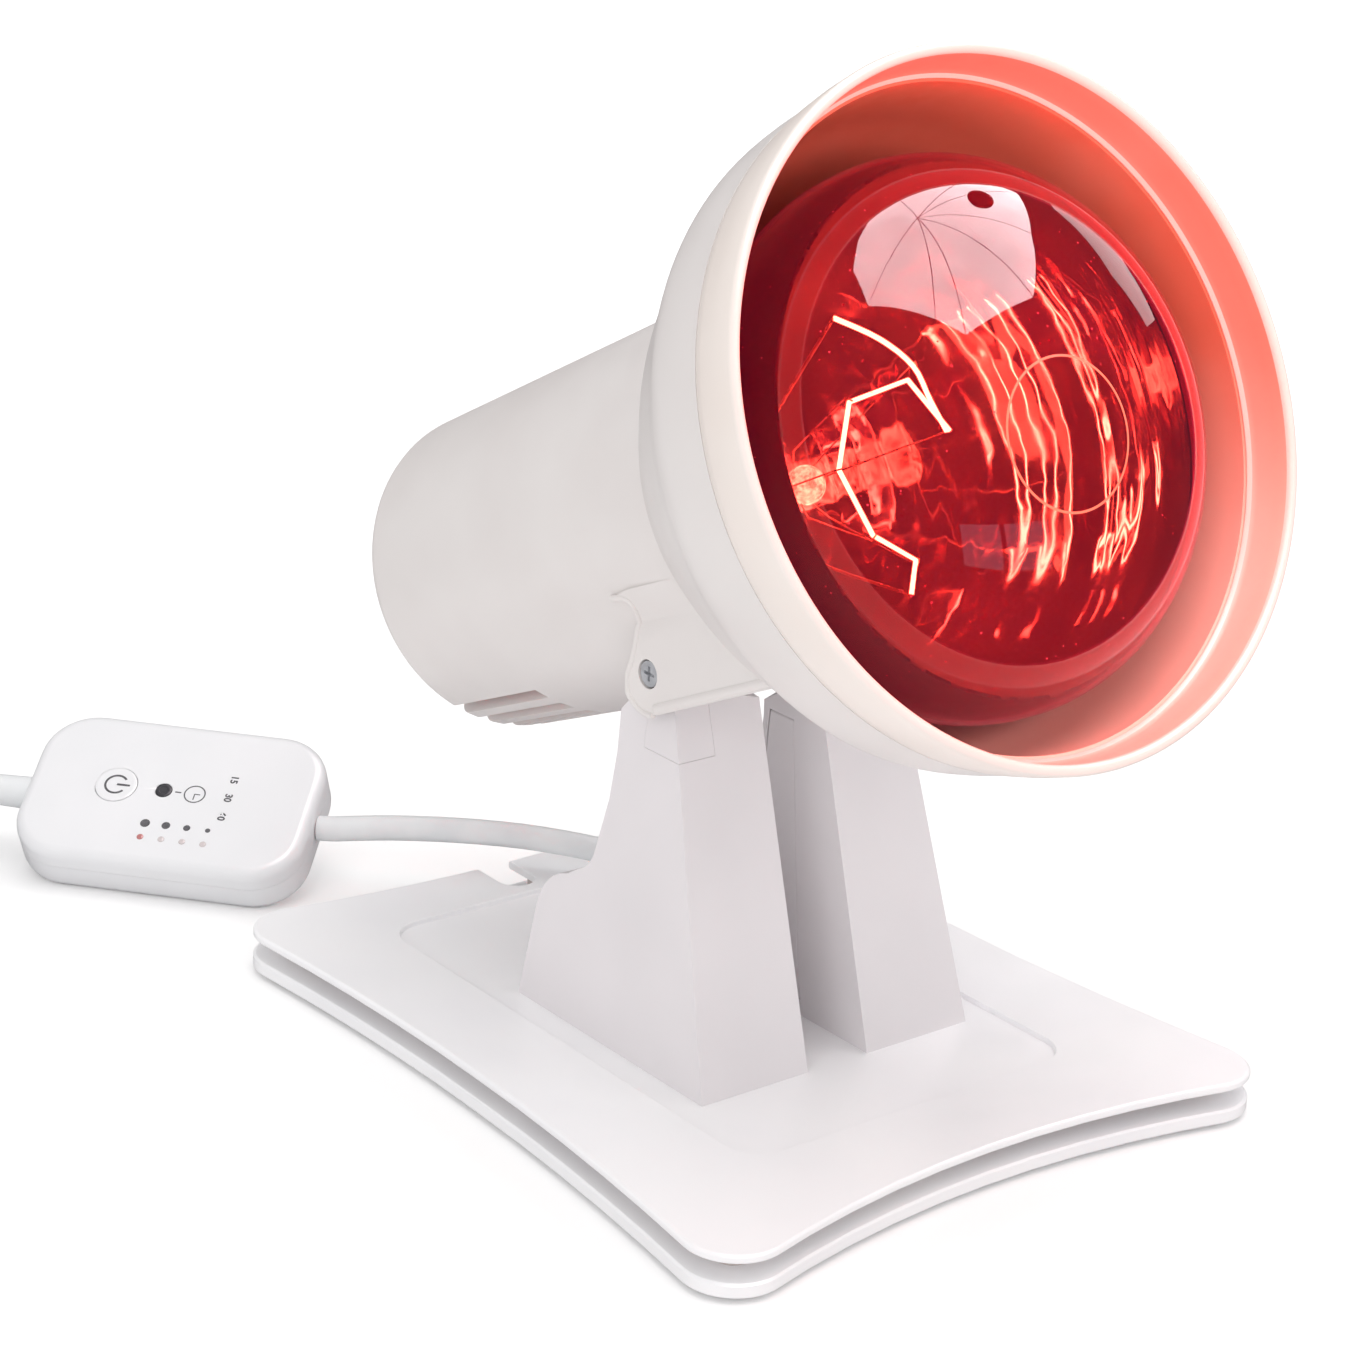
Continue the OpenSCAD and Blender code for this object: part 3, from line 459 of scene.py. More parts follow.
@dataclass(frozen=True)
class MirrorBack:
    """The coat seen through the tinted glass from outside: a dull dark maroon band, a painted dark reflection in place
    of the dim room that the coat's mirror side shows.
    """

    name: str = "mirror_back"

    def material(self) -> bpy.types.Material:
        """The finish as a node material."""
        material, tree, shader, _ = blank_material(self.name)
        tone = mottled(tree, 1.2, ("30202a", "4a3038"), 3)
        feed(tree, shader, {"Base Color": tone, "Roughness": drift(tree, 5.0, 0.3, 0.5)})
        return material


@dataclass(frozen=True)
class HotWire:
    """Tungsten coil at work: it gives off its own yellow-white light."""

    name: str = "hot_tungsten"
    colour: str = "ffd86c"
    strength: float = 230.0

    def material(self) -> bpy.types.Material:
        """The finish as a node material."""
        material, tree, shader, _ = blank_material(self.name)
        turns = mottled(tree, 0.6, ("ffc058", self.colour), 1, 0.85, 1)
        feed(tree, shader, {"Emission Color": turns, "Emission Strength": self.strength})
        feed(tree, shader, {"Base Color": linear("605850"), "Roughness": 0.5})
        return material


@dataclass(frozen=True)
class CreamUnderPaintedGlow:
    """Cream enamel or polyester at the mouth of the lamp, with painted red glow and shade: its colour turns redder and
    darker towards the top, in place of the bulb's red light and the bell's shade.
    """

    name: str
    lower_tone: str
    painted_glow_shade_tone: str
    low_mm: float = 132.0
    high_mm: float = 185.0

    def material(self) -> bpy.types.Material:
        """The finish as a node material."""
        material, tree, shader, _ = blank_material(self.name)
        place = add_node(tree, "ShaderNodeTexCoord").outputs["Object"]
        height = add_node(tree, "ShaderNodeSeparateXYZ", {0: place}).outputs["Z"]
        span = {"Value": height, "From Min": self.low_mm * MM, "From Max": self.high_mm * MM}
        rise = add_node(tree, "ShaderNodeMapRange", span, interpolation_type="SMOOTHSTEP").outputs[0]
        uneven = drift(tree, 30.0, -0.08, 0.08)
        share = add_node(tree, "ShaderNodeMath", {0: rise, 1: uneven}, operation="ADD", use_clamp=True).outputs[0]
        # Painted red glow and shade: its share grows with height, evened a little by the drift
        tones = {0: share, 6: linear(self.lower_tone), 7: linear(self.painted_glow_shade_tone)}
        links = {
            "Base Color": add_node(tree, "ShaderNodeMix", tones, data_type="RGBA").outputs[2],
            "Roughness": drift(tree, 6.0, 0.38, 0.5),
            "Normal": grain(tree, 1.4, 0.02, 0.5, 3),
        }
        feed(tree, shader, links)
        return material


@dataclass(frozen=True)
class FlatInk:
    """Pad-printed ink: thin, even and dull, with a painted glow where it is given one."""

    name: str
    colour: str
    glow: float = 0.0

    def material(self) -> bpy.types.Material:
        """The finish as a node material."""
        material, tree, shader, _ = blank_material(self.name)
        tone = mottled(tree, 0.9, (self.colour, "8a8a8c"), 2, 0, 0.25)
        feed(tree, shader, {"Base Color": tone, "Roughness": drift(tree, 2.0, 0.5, 0.6)})
        # Painted glow: the ink gives off light of its own colour, in place of the bulb's light shining through it
        if self.glow:
            feed(tree, shader, {"Emission Color": linear(self.colour), "Emission Strength": self.glow})
        return material


class Finishes:
    """Every finish of the lamp, made once."""

    def __init__(self) -> None:
        """Makes the materials."""
        self.shell = MouldedPlastic("abs_warm_white", "e8e4e2", "e3dedc").material()
        self.stand = MouldedPlastic("abs_grey_white", "e9e5e7", "e4e0e2").material()
        self.base = MouldedPlastic("abs_white", "fafafb", "f5f5f7", 0.36).material()
        # Painted shade: the core wall between the base plates takes a darker tone for the shade of the gap
        self.core = MouldedPlastic("abs_in_shade", "cfc4c0", "c8bcb8", 0.5).material()
        self.ring = MouldedPlastic("polyester_cream", "f4ece6", "f0e6df", 0.38).material()
        self.control = MouldedPlastic("abs_cool_white", "ececee", "e8e9eb", 0.34, 0.6).material()
        self.grey = MouldedPlastic("abs_dark_grey", "3a3c40", "333539", 0.4, 0.5).material()
        self.black = MouldedPlastic("phenolic_black", "17171a", "202024", 0.45).material()
        self.rubber = MouldedPlastic("rubber_dark", "2c2c2e", "343436", 0.7).material()
        self.ceramic = MouldedPlastic("glazed_steatite", "efece2", "e6e2d6", 0.2).material()
        self.board = MouldedPlastic("glass_epoxy_board", "1d5a35", "18502e", 0.35).material()
        self.led = MouldedPlastic("led_lens", "d8cfcf", "cfc4c4", 0.15, 0.4).material()
        self.led_red = MouldedPlastic("led_lens_red", "c98a88", "b97774", 0.15, 0.4).material()
        self.cord = CordSheath().material()
        self.zinc = Metal("zinc_plate", "d6d8dc", "c2c5ca", plating=0.45).material()
        self.brass = Metal("brass", "c9a85a", "b3924a", 0.24).material()
        self.tin = Metal("rolled_aluminium", "cfcfcf", "bababa", 0.22).material()
        self.nickel = Metal("nickel_wire", "c9b9a8", "b3a392", 0.2).material()
        # Both glasses carry painted light: the red one a faint even glow, the stem bright glints
        self.red_glass = TintedGlass("red_bulb_glass", "ef5082", "ff3430", speck_mm=0.2, painted_glass_glow=0.035).material()
        self.clear_glass = TintedGlass("clear_stem_glass", "ffe6e0", "ffe0d8", 0.2, painted_glints=9.0).material()
        self.mirror = MirrorCoat().material()
        self.mirror_back = MirrorBack().material()
        self.hot = HotWire().material()
        # The liner's cream turns to painted red glow and shade towards its top
        self.liner = CreamUnderPaintedGlow("liner_enamel_glow_painted", "f6e0d2", "d88c72").material()
        # Painted red glow: the ring's inner face is salmon all over, and redder and darker towards its top
        self.ring_inside_glow_painted = CreamUnderPaintedGlow("polyester_cream_inside_glow_painted", "f8d2c6", "f09c8c").material()
        self.ink = FlatInk("grey_print", "3c3e42").material()
        # The dome's print carries a painted glow
        self.bulb_ink = FlatInk("salmon_print", "d07a5c", glow=0.12).material()


# --------------------------------------------------------------------------- meshes


def shift(x: float, y: float, z: float) -> Matrix:
    """The matrix that moves a mesh by a distance in millimetres."""
    return Matrix.Translation((x * MM, y * MM, z * MM))


def add_object(name: str, data: bpy.types.ID) -> bpy.types.Object:
    """Puts a mesh, curve, lamp or camera in the scene."""
    made = bpy.data.objects.new(name, data)
    bpy.context.scene.collection.objects.link(made)
    return made


def smooth_line(points: Sequence[Sequence[float]], steps: int) -> list[Vector]:
    """A smooth curve through points, as the CAD draws it.

    Args:
        points: The points to pass.
        steps: Pieces in each span.

    Returns:
        The points of the curve.
    """
    line = [Vector(p) for p in points]
    out: list[Vector] = []
    for i in range(len(line) - 1):
        a, b = line[max(i - 1, 0)], line[i]
        c, d = line[i + 1], line[min(i + 2, len(line) - 1)]
        for k in range(steps):
            t = k / steps
            out.append(
                0.5 * (2 * b + (c - a) * t + (2 * a - 5 * b + 4 * c - d) * t * t + (3 * b - a - 3 * c + d) * t**3)
            )
    out.append(line[-1])
    return out


def to_object(
    bm: bmesh.types.BMesh,
    name: str,
    materials: Sequence[bpy.types.Material],
    sharp_deg: float = 35.0,
) -> bpy.types.Object:
    """Ends a bmesh as an object at the origin with smooth shading.

    Args:
        bm: The mesh, in metres in the row frame. It is freed.
        name: The object's name.
        materials: Its materials, in slot order.
        sharp_deg: Edges sharper than this stay sharp.

    Returns:
        The object.
    """
    mesh = bpy.data.meshes.new(name)
    bm.to_mesh(mesh)
    bm.free()
    mesh.polygons.foreach_set("use_smooth", [True] * len(mesh.polygons))
    mesh.set_sharp_from_angle(angle=math.radians(sharp_deg))
    for material in materials:
        mesh.materials.append(material)
    return add_object(name, mesh)


def spun(profile: Sequence[Sequence[float]], steps: int = 160, close: bool = True) -> bmesh.types.BMesh:
    """Spins a profile about Z.

    Args:
        profile: Points of (distance along Z, radius) in millimetres.
        steps: Steps of the full turn.
        close: Joins the last point to the first, for a wall with thickness.

    Returns:
        The mesh, in metres, with its seam merged and its faces outwards.
    """
    bm = bmesh.new()
    verts = [bm.verts.new((r * MM, 0, a * MM)) for a, r in profile]
    pairs = list(zip(verts, verts[1:]))
    if close:
        pairs.append((verts[-1], verts[0]))
    edges = [bm.edges.new(pair) for pair in pairs]
    whole = {"cent": (0, 0, 0), "axis": (0, 0, 1), "angle": 2 * math.pi, "steps": steps}
    bmesh.ops.spin(bm, geom=verts + edges, use_merge=True, use_duplicate=False, **whole)
    bmesh.ops.remove_doubles(bm, verts=bm.verts, dist=SAME_POINT)
    bmesh.ops.recalc_face_normals(bm, faces=bm.faces)
    return bm


def turned(bm: bmesh.types.BMesh, matrix: Matrix) -> bmesh.types.BMesh:
    """Places a mesh.

    Args:
        bm: The mesh.
        matrix: Where it goes.

    Returns:
        The same mesh.
    """
    bmesh.ops.transform(bm, matrix=matrix, verts=bm.verts)
    return bm


def join(bm: bmesh.types.BMesh, part: bmesh.types.BMesh) -> None:
    """Adds part to a mesh and frees part.

    Args:
        bm: The mesh that takes it.
        part: The mesh that is added.
    """
    mesh = bpy.data.meshes.new("part")
    part.to_mesh(mesh)
    part.free()
    bm.from_mesh(mesh)
    bpy.data.meshes.remove(mesh)


def rod(radius: float, length: float, segments: int = 48) -> bmesh.types.BMesh:
    """A solid rod on Z, centred on the origin.

    Args:
        radius: Its radius in millimetres.
        length: Its length.
        segments: Its sides.

    Returns:
        The mesh, in metres.
    """
    bm = bmesh.new()
    size = {"radius1": radius * MM, "radius2": radius * MM, "depth": length * MM}
    bmesh.ops.create_cone(bm, segments=segments, cap_ends=True, **size)
    return bm


def level_edges(bm: bmesh.types.BMesh, level: bool = True) -> list[bmesh.types.BMEdge]:
    """The edges of a mesh that lie level, or those that rise."""
    return [e for e in bm.edges if (abs(e.verts[0].co.z - e.verts[1].co.z) < LEVEL) == level]


def rounded(
    bm: bmesh.types.BMesh, edges: Sequence[bmesh.types.BMEdge], radius: float, steps: int, clamp: bool = False
) -> None:
    """Rounds edges of a mesh.

    Args:
        bm: The mesh.
        edges: Its edges.
        radius: The rounding in millimetres.
        steps: Steps of the rounding.
        clamp: Stops the rounding where it would meet another.
    """
    shape = {"profile": 0.5, "affect": "EDGES", "material": -1, "clamp_overlap": clamp}
    bmesh.ops.bevel(bm, geom=edges, offset=radius * MM, segments=steps, **shape)


def slab(outline: Sequence[Point2], thickness: float, rounding: float) -> bmesh.types.BMesh:
    """A flat plate from a short outline, with its rims rounded.

    Args:
        outline: Corners in millimetres, going round once.
        thickness: Its thickness, up from z = 0.
        rounding: Radius of both rims.

    Returns:
        The mesh, in metres.
    """
    bm = bmesh.new()
    face = bm.faces.new([bm.verts.new((x * MM, y * MM, 0)) for x, y in outline])
    made = bmesh.ops.extrude_face_region(bm, geom=[face])
    top = [v for v in made["geom"] if isinstance(v, bmesh.types.BMVert)]
    bmesh.ops.translate(bm, vec=(0, 0, thickness * MM), verts=top)
    bmesh.ops.recalc_face_normals(bm, faces=bm.faces)
    if rounding:
        rounded(bm, level_edges(bm), rounding, 3, clamp=True)
    return bm


def rounded_box(size: Point3, corner: float, edge: float) -> bmesh.types.BMesh:
    """A box with round upright corners and rounded rims.

    Args:
        size: Length, width and height in millimetres, centred on the origin.
        corner: Radius of the upright corners.
        edge: Radius of the rims.

    Returns:
        The mesh, in metres.
    """
    bm = bmesh.new()
    bmesh.ops.create_cube(bm, size=1)
    bmesh.ops.scale(bm, vec=[s * MM for s in size], verts=bm.verts)
    rounded(bm, level_edges(bm, False), corner, 12)
    rounded(bm, level_edges(bm), edge, 5)
    return bm


def softened(frame: dict, node: str, name: str, material: bpy.types.Material, width: float) -> bpy.types.Object:
    """A copy of a CAD node with its sharp edges rounded.

    Args:
        frame: The loaded frame.
        node: The CAD node.
        name: The new piece's name.
        material: Its finish.
        width: The rounding in millimetres.

    Returns:
        The piece.
    """
    bm = bmesh.new()
    bm.from_mesh(frame["nodes"][node].data)
    bmesh.ops.remove_doubles(bm, verts=bm.verts, dist=SAME_POINT)
    bmesh.ops.dissolve_limit(bm, angle_limit=math.radians(1), verts=bm.verts, edges=bm.edges)
    sharp = [e for e in bm.edges if e.is_manifold and e.calc_face_angle(0) > math.radians(30)]
    rounded(bm, sharp, width, 3, clamp=True)
    piece = to_object(bm, name, [material], 40)
    flatten_shading(piece)
    return piece


def flatten_shading(piece: bpy.types.Object) -> None:
    """Keeps the shading of flat faces flat beside their rounded edges."""
    piece.modifiers.new("flat_faces", "WEIGHTED_NORMAL").keep_sharp = True


def bent_wire(
    name: str, lines: Sequence[Sequence[Vector]], radius: float, steps: int, place: Matrix | None = None
) -> bpy.types.Curve:
    """A curve with a round section that follows lines.

    Args:
        name: Its name.
        lines: Its lines, in millimetres.
        radius: The radius of its section.
        steps: How fine its section is.
        place: Where the lines' frame is.

    Returns:
        The curve, in metres.
    """
    curve = bpy.data.curves.new(name, "CURVE")
    curve.dimensions = "3D"
    curve.bevel_depth = radius * MM
    curve.bevel_resolution = steps
    curve.use_fill_caps = True
    for line in lines:
        spline = curve.splines.new("POLY")
        spline.points.add(len(line) - 1)
        for point, at in zip(spline.points, line):
            spot = at * MM
            point.co = (*(place @ spot if place else spot), 1)
    return curve


def made_mesh(curve: bpy.types.Curve) -> bpy.types.Mesh:
    """Turns a curve or a text to a mesh."""
    holder = add_object(curve.name, curve)
    mesh = bpy.data.meshes.new_from_object(holder.evaluated_get(bpy.context.evaluated_depsgraph_get()))
    bpy.data.objects.remove(holder)
    return mesh


def cut(target: bpy.types.Object, tools: Sequence[bpy.types.Object], how: str = "DIFFERENCE") -> None:
    """Cuts tools from a piece, or joins them to it, and removes the tools.

    Args:
        target: The piece, whose mesh is replaced.
        tools: The cutters.
        how: DIFFERENCE, UNION or INTERSECT.
    """
    for tool in tools:
        step = target.modifiers.new("cut", "BOOLEAN")
        step.operation = how
        step.solver = "EXACT"
        step.object = tool
    graph = bpy.context.evaluated_depsgraph_get()
    mesh = bpy.data.meshes.new_from_object(target.evaluated_get(graph))
    target.modifiers.clear()
    target.data = mesh
    for tool in tools:
        bpy.data.objects.remove(tool)


def finish_piece(piece: bpy.types.Object, body: Body, slot: Slot, replaces: Sequence[str] = ()) -> bpy.types.Object:
    """Rides a piece on its body, hides the CAD nodes it stands for and logs it.

    Args:
        piece: The piece.
        body: Its CAD body.
        slot: The record's material slot; not used.
        replaces: CAD nodes that it stands for.

    Returns:
        The piece.
    """
    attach(piece, body.value)
    if replaces:
        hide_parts(*replaces)
    log.info("%s: %d faces on %s", piece.name, len(piece.data.polygons) if piece.type == "MESH" else 0, body.value)
    return piece


def add_piece(
    bm: bmesh.types.BMesh,
    name: str,
    materials: Sequence[bpy.types.Material],
    place: tuple[Body, Slot],
    replaces: Sequence[str] = (),
    sharp_deg: float = 60.0,
) -> None:
    """Ends a bmesh as a finished piece.

    Args:
        bm: The mesh, in metres in the row frame. It is freed.
        name: The piece's name.
        materials: Its materials, in slot order.
        place: Its CAD body and the record's material slot.
        replaces: CAD nodes that it stands for.
        sharp_deg: Edges sharper than this stay sharp.
    """
    finish_piece(to_object(bm, name, materials, sharp_deg), *place, replaces)


# --------------------------------------------------------------------------- head


@dataclass(frozen=True)
class HeadFrame:
    """Places the head's own frame at its angle of rest."""

    pivot: Point3 = (0.0, -8.7, 104.3)
    tilt_deg: float = 26.0
    lift: float = 35.3
    pivot_a: float = 2.7

    def matrix(self, drop: float = 0.0) -> Matrix:
        """The head's frame in metres, lowered by drop across its axis."""
        turn = Matrix.Rotation(math.radians(90 - self.tilt_deg), 4, "X")
        return shift(*self.pivot) @ turn @ shift(0, self.lift - drop, -self.pivot_a)

    def by_pivot(self, x: float) -> Matrix:
        """In the head's frame, the place of the hinge at a distance from the middle."""
        return shift(x, -self.lift, self.pivot_a)


HEAD = HeadFrame()
BULB_DROP = 2.0
ALONG_X = Matrix.Rotation(math.pi / 2, 4, "Y")  # lays what stands on Z along X
RING_SEAT_R = 74.9  # outer radius of the bell where the front ring sits on it
BARREL_R = 45.2  # outer radius of the barrel at its front


@dataclass
class HeadShell:
    """The moulded barrel and bell with its two ears and its vent slots."""

    finishes: Finishes
    wall: float = 2.4
    turn_steps: int = 144
    rear_a: float = -101.0
    rear_r: float = 40.25
    fillet: float = 5.0
    bell: tuple[Point2, ...] = (
        (25, BARREL_R), (32, 50.1), (45, 58.8), (60, 67.0), (68, 71.7), (76, 73.6), (87.2, RING_SEAT_R),
    )
    ear_x: float = 38.5
    ear_t: float = 2.6
    boss_r: float = 6.5
    boss_t: float = 4.4
    chin_r: float = 9.2
    bead_r: float = 1.5
    bead_at: Point2 = (-0.9, -7.9)
    bead_l: float = 44.0
    saddle_depth: float = 8.0
    saddle_l: float = 42.3
    lip_r: float = 0.75
    pocket_r: float = 10.2
    pocket_floor_x: float = 22.7
    bores: tuple[Point2, Point2] = ((2.1, 8.0), (3.4, 2.6))  # radius and depth
    vents: int = 8
    vent_pitch: float = 10.5
    vent_w: float = 4.1
    vent_l: float = 39.0
    vent_depth: float = 16.0
    vent_round: float = 1.9
    vent_over: float = 12.0  # how much longer a slot's cutter is, most of it past the closed end

    def bell_line(self) -> list[Vector]:
        """The outer line of the bell, from the barrel to the front ring."""
        return smooth_line(self.bell, 6)

    def build(self) -> None:
        """Builds the shell in place of its CAD node."""
        shell = self.body()
        cut(shell, [self.ear(side) for side in (-1, 1)], "UNION")
        cut(shell, [self.core()] + [self.pocket(side) for side in (-1, 1)] + self.slots() + self.holes())
        bm = bmesh.new()
        bm.from_mesh(shell.data)
        bmesh.ops.remove_doubles(bm, verts=bm.verts, dist=2 * SAME_POINT)
        turned(bm, HEAD.matrix())
        bpy.data.objects.remove(shell)
        shell_place = (Body.HEAD, Slot.SHELL)
        add_piece(bm, "head_shell_moulding", [self.finishes.shell], shell_place, ["head_shell"], 32)
        for side in (-1, 1):
            self.ear_lip(side)

    def solid(self, bm: bmesh.types.BMesh, name: str) -> bpy.types.Object:
        """A solid to join to the shell or to cut from it."""
        return to_object(bm, name, [self.finishes.shell])

    def outer_line(self) -> list[Point2]:
        """The outer profile from the closed end's middle to the front."""
        turn = [k * math.pi / 16 for k in range(9)]
        corner = [
            (self.rear_a + self.fillet * (1 - math.cos(t)), self.rear_r - self.fillet * (1 - math.sin(t))) for t in turn
        ]
        end = [(self.rear_a, r) for r in (0.0, 20.0, self.rear_r - self.fillet - 0.4)]
        return end + corner + [(p[0], p[1]) for p in self.bell_line()]

    def body(self) -> bpy.types.Object:
        """The solid of the shell, before it is hollowed."""
        line = self.outer_line()
        return self.solid(spun(line + [(line[-1][0], 0.0)], self.turn_steps, close=False), "shell_body")

    def core(self) -> bpy.types.Object:
        """The hollow of the shell, open to the front."""
        inner = [(self.rear_a + self.wall, 0.0), (self.rear_a + self.wall, self.rear_r - self.fillet)]
        inner.append((self.rear_a + self.fillet, self.rear_r - self.wall - 0.6))
        inner += [(p[0], p[1] - self.wall) for p in self.bell_line()]
        inner += [(inner[-1][0] + 5, inner[-1][1]), (inner[-1][0] + 5, 0.0)]
        return self.solid(spun(inner, self.turn_steps, close=False), "shell_core")

    def ear_outline(self) -> list[Point2]:
        """Side view of an ear from its pivot: along the head's axis and up."""
        back = smooth_line([(-2.4, 18.3), (1.6, 17.5), (3.2, 15.6), (2, 12.4), (0.2, 10.4), (-3.2, 5.6), (-7.6, 1)], 4)
        turn = [math.radians(a) for a in range(196, 268, 8)]
        chin = [(-0.2 + self.chin_r * math.cos(t), -0.2 + self.chin_r * math.sin(t)) for t in turn]
        return [(p[0], p[1]) for p in back] + chin + [(45.0, -9.4), (45.0, 18.2), (4.8, 19.2)]

    def ear_lip(self, side: int) -> None:
        """The rounded lip along the back and the chin of an ear.

        Args:
            side: -1 for the ear at low X, 1 for the other.
        """
        line = []
        for a, u in self.ear_outline()[:-3]:
            reach = math.sqrt(BARREL_R**2 - (HEAD.lift - u) ** 2)
            line.append(Vector((side * (max(self.ear_x, reach) - 0.2), u - HEAD.lift, a + HEAD.pivot_a)))
        bm = bmesh.new()
        bm.from_mesh(made_mesh(bent_wire("ear_lip", [line], self.lip_r, 4, HEAD.matrix())))
        name = "ear_lip_left" if side < 0 else "ear_lip_right"
        add_piece(bm, name, [self.finishes.shell], (Body.HEAD, Slot.SHELL))

    def ear(self, side: int) -> bpy.types.Object:
        """One ear: a plate with an S-shaped back, its boss, its lower bead and its saddle on the barrel.

        Args:
            side: -1 for the ear at low X, 1 for the other.

        Returns:
            The ear, in the head's frame.
        """
        # The outline's first axis runs along the head and its second one up
        stand = Matrix(((0, 0, -1, 0), (0, 1, 0, 0), (1, 0, 0, 0), (0, 0, 0, 1)))
        outline = self.ear_outline()
        plate = turned(slab(outline, self.ear_t, 0.7), stand)
        bead = turned(rod(self.bead_r, self.bead_l, 32), shift(*self.bead_at, self.bead_l / 2))
        tip = bmesh.new()
        bmesh.ops.create_uvsphere(tip, u_segments=32, v_segments=16, radius=self.bead_r * MM)
        turned(tip, shift(*self.bead_at, 0))
        boss = turned(rod(self.boss_r, self.boss_t), shift(-self.boss_t / 2, 0, 0) @ ALONG_X)
        saddle = turned(slab(outline, self.ear_t + self.saddle_depth, 0), shift(self.saddle_depth, 0, 0) @ stand)
        drum = turned(rod(BARREL_R, self.saddle_l, self.turn_steps), shift(-self.ear_x, HEAD.lift, 1.15))
        parts = [self.solid(bm, "ear_part") for bm in (plate, bead, tip, boss, saddle, drum)]
        cut(parts[4], parts[5:], "INTERSECT")
        cut(parts[0], parts[1:5], "UNION")
        parts[0].data.transform(Matrix.Diagonal((side, 1, 1, 1)) @ HEAD.by_pivot(self.ear_x))
        if side < 0:
            parts[0].data.flip_normals()
        return parts[0]

    def pocket(self, side: int) -> bpy.types.Object:
        """The clearance for the knuckle of the pivot block."""
        depth = self.ear_x - self.ear_t - self.pocket_floor_x
        middle = self.ear_x - self.ear_t - depth / 2
        bm = turned(rod(self.pocket_r, depth, 64), HEAD.by_pivot(side * middle) @ ALONG_X)
        return self.solid(bm, "pocket")

    def slots(self) -> list[bpy.types.Object]:
        """Cutters of the vent slots, which wrap over the rear fillet."""
        tools = []
        length = self.vent_l + self.vent_over
        for k in range(self.vents):
            bm = rounded_box((self.vent_depth, self.vent_w, length), self.vent_round, 0.4)
            # The cutter's front end leans, so that the slot runs out on the barrel
            for vert in bm.verts:
                if vert.co.z > 0:
                    vert.co.z += (vert.co.x - 4 * MM) * 0.7
            angle = math.radians(-90 + self.vent_pitch * (k - (self.vents - 1) / 2))
            turned(bm, Matrix.Rotation(angle, 4, "Z") @ shift(self.rear_r + 1, 0, self.rear_a + length / 2 - 7))
            tools.append(self.solid(bm, f"slot_{k}"))
        return tools

    def holes(self) -> list[bpy.types.Object]:
        """Cutters of the pivot bores and their counterbores."""
        tools = []
        for side in (-1, 1):
            for radius, depth in self.bores:
                place = HEAD.by_pivot(side * (self.ear_x - depth / 2 + 1)) @ ALONG_X
                tools.append(self.solid(turned(rod(radius, depth + 2), place), "pivot_hole"))
        return tools


@dataclass
class BellFittings:
    """The front ring and the heat liner, both turned about the head's axis."""

    finishes: Finishes
    shell: HeadShell
    ring_a: float = 87.2
    rim_a: float = 102.0
    rim_r: float = 77.0
    step_a: float = 90.6
    lip: float = 2.7
    nose_r: float = 1.3
    liner_gap: float = 0.3
    liner_t: float = 0.8

    def build(self) -> None:
        """Builds both in place of their CAD nodes."""
        self.front_ring()
        self.heat_liner()

    def front_ring(self) -> None:
        """The rim's own ring, with a rounded lip and a step inside."""
        r, nose_r, step = RING_SEAT_R, self.nose_r, self.step_a
        inner, mouth = r - self.shell.wall, self.rim_r - self.lip
        turn = [math.radians(a) for a in range(0, 181, 20)]
        middle = (self.rim_a - nose_r, self.rim_r - nose_r - 0.05)
        nose = [(middle[0] + nose_r * math.sin(t), middle[1] + nose_r * math.cos(t)) for t in turn]
        line: list[Point2] = [
            (self.ring_a + 0.05, inner), (self.ring_a + 0.05, r - 0.15), (self.ring_a + 0.25, r),
            (self.ring_a + 3, r + 0.7), (self.ring_a + 8, r + 1.5), *nose,
            (self.rim_a - 4, mouth - 0.3), (step + 2.2, inner + 1.0), (step + 1.2, inner + 0.3),
            (step + 0.8, inner - 0.3), (step + 0.4, inner - 0.5), (step + 0.05, inner - 0.3), (step, inner),
        ]
        bm = spun(line, 192)
        # The inner faces of the mouth take the second finish, with its painted red glow and shade
        for face in bm.faces:
            at = face.calc_center_median()
            within = math.hypot(at.x, at.y) < (mouth + 0.3) * MM
            face.material_index = int(within and (step + 1.0) * MM < at.z < (self.rim_a - 1.4) * MM)
        turned(bm, HEAD.matrix())
        looks = [self.finishes.ring, self.finishes.ring_inside_glow_painted]
        add_piece(bm, "front_ring_moulding", looks, (Body.HEAD, Slot.RING), ["front_ring"], 50)

    def heat_liner(self) -> None:
        """The thin liner that follows the inside of the bell."""
        inset = self.shell.wall + self.liner_gap
        skin = [(p[0], p[1] - inset) for p in self.shell.bell_line() if p[0] > 30]
        skin.append((self.step_a, RING_SEAT_R - inset))
        inner = [(a, r - self.liner_t) for a, r in reversed(skin)]
        bm = turned(spun(skin + inner, 160), HEAD.matrix())
        add_piece(bm, "heat_liner_shell", [self.finishes.liner], (Body.HEAD, Slot.LINER), ["heat_liner"], 50)


# --------------------------------------------------------------------------- bulb


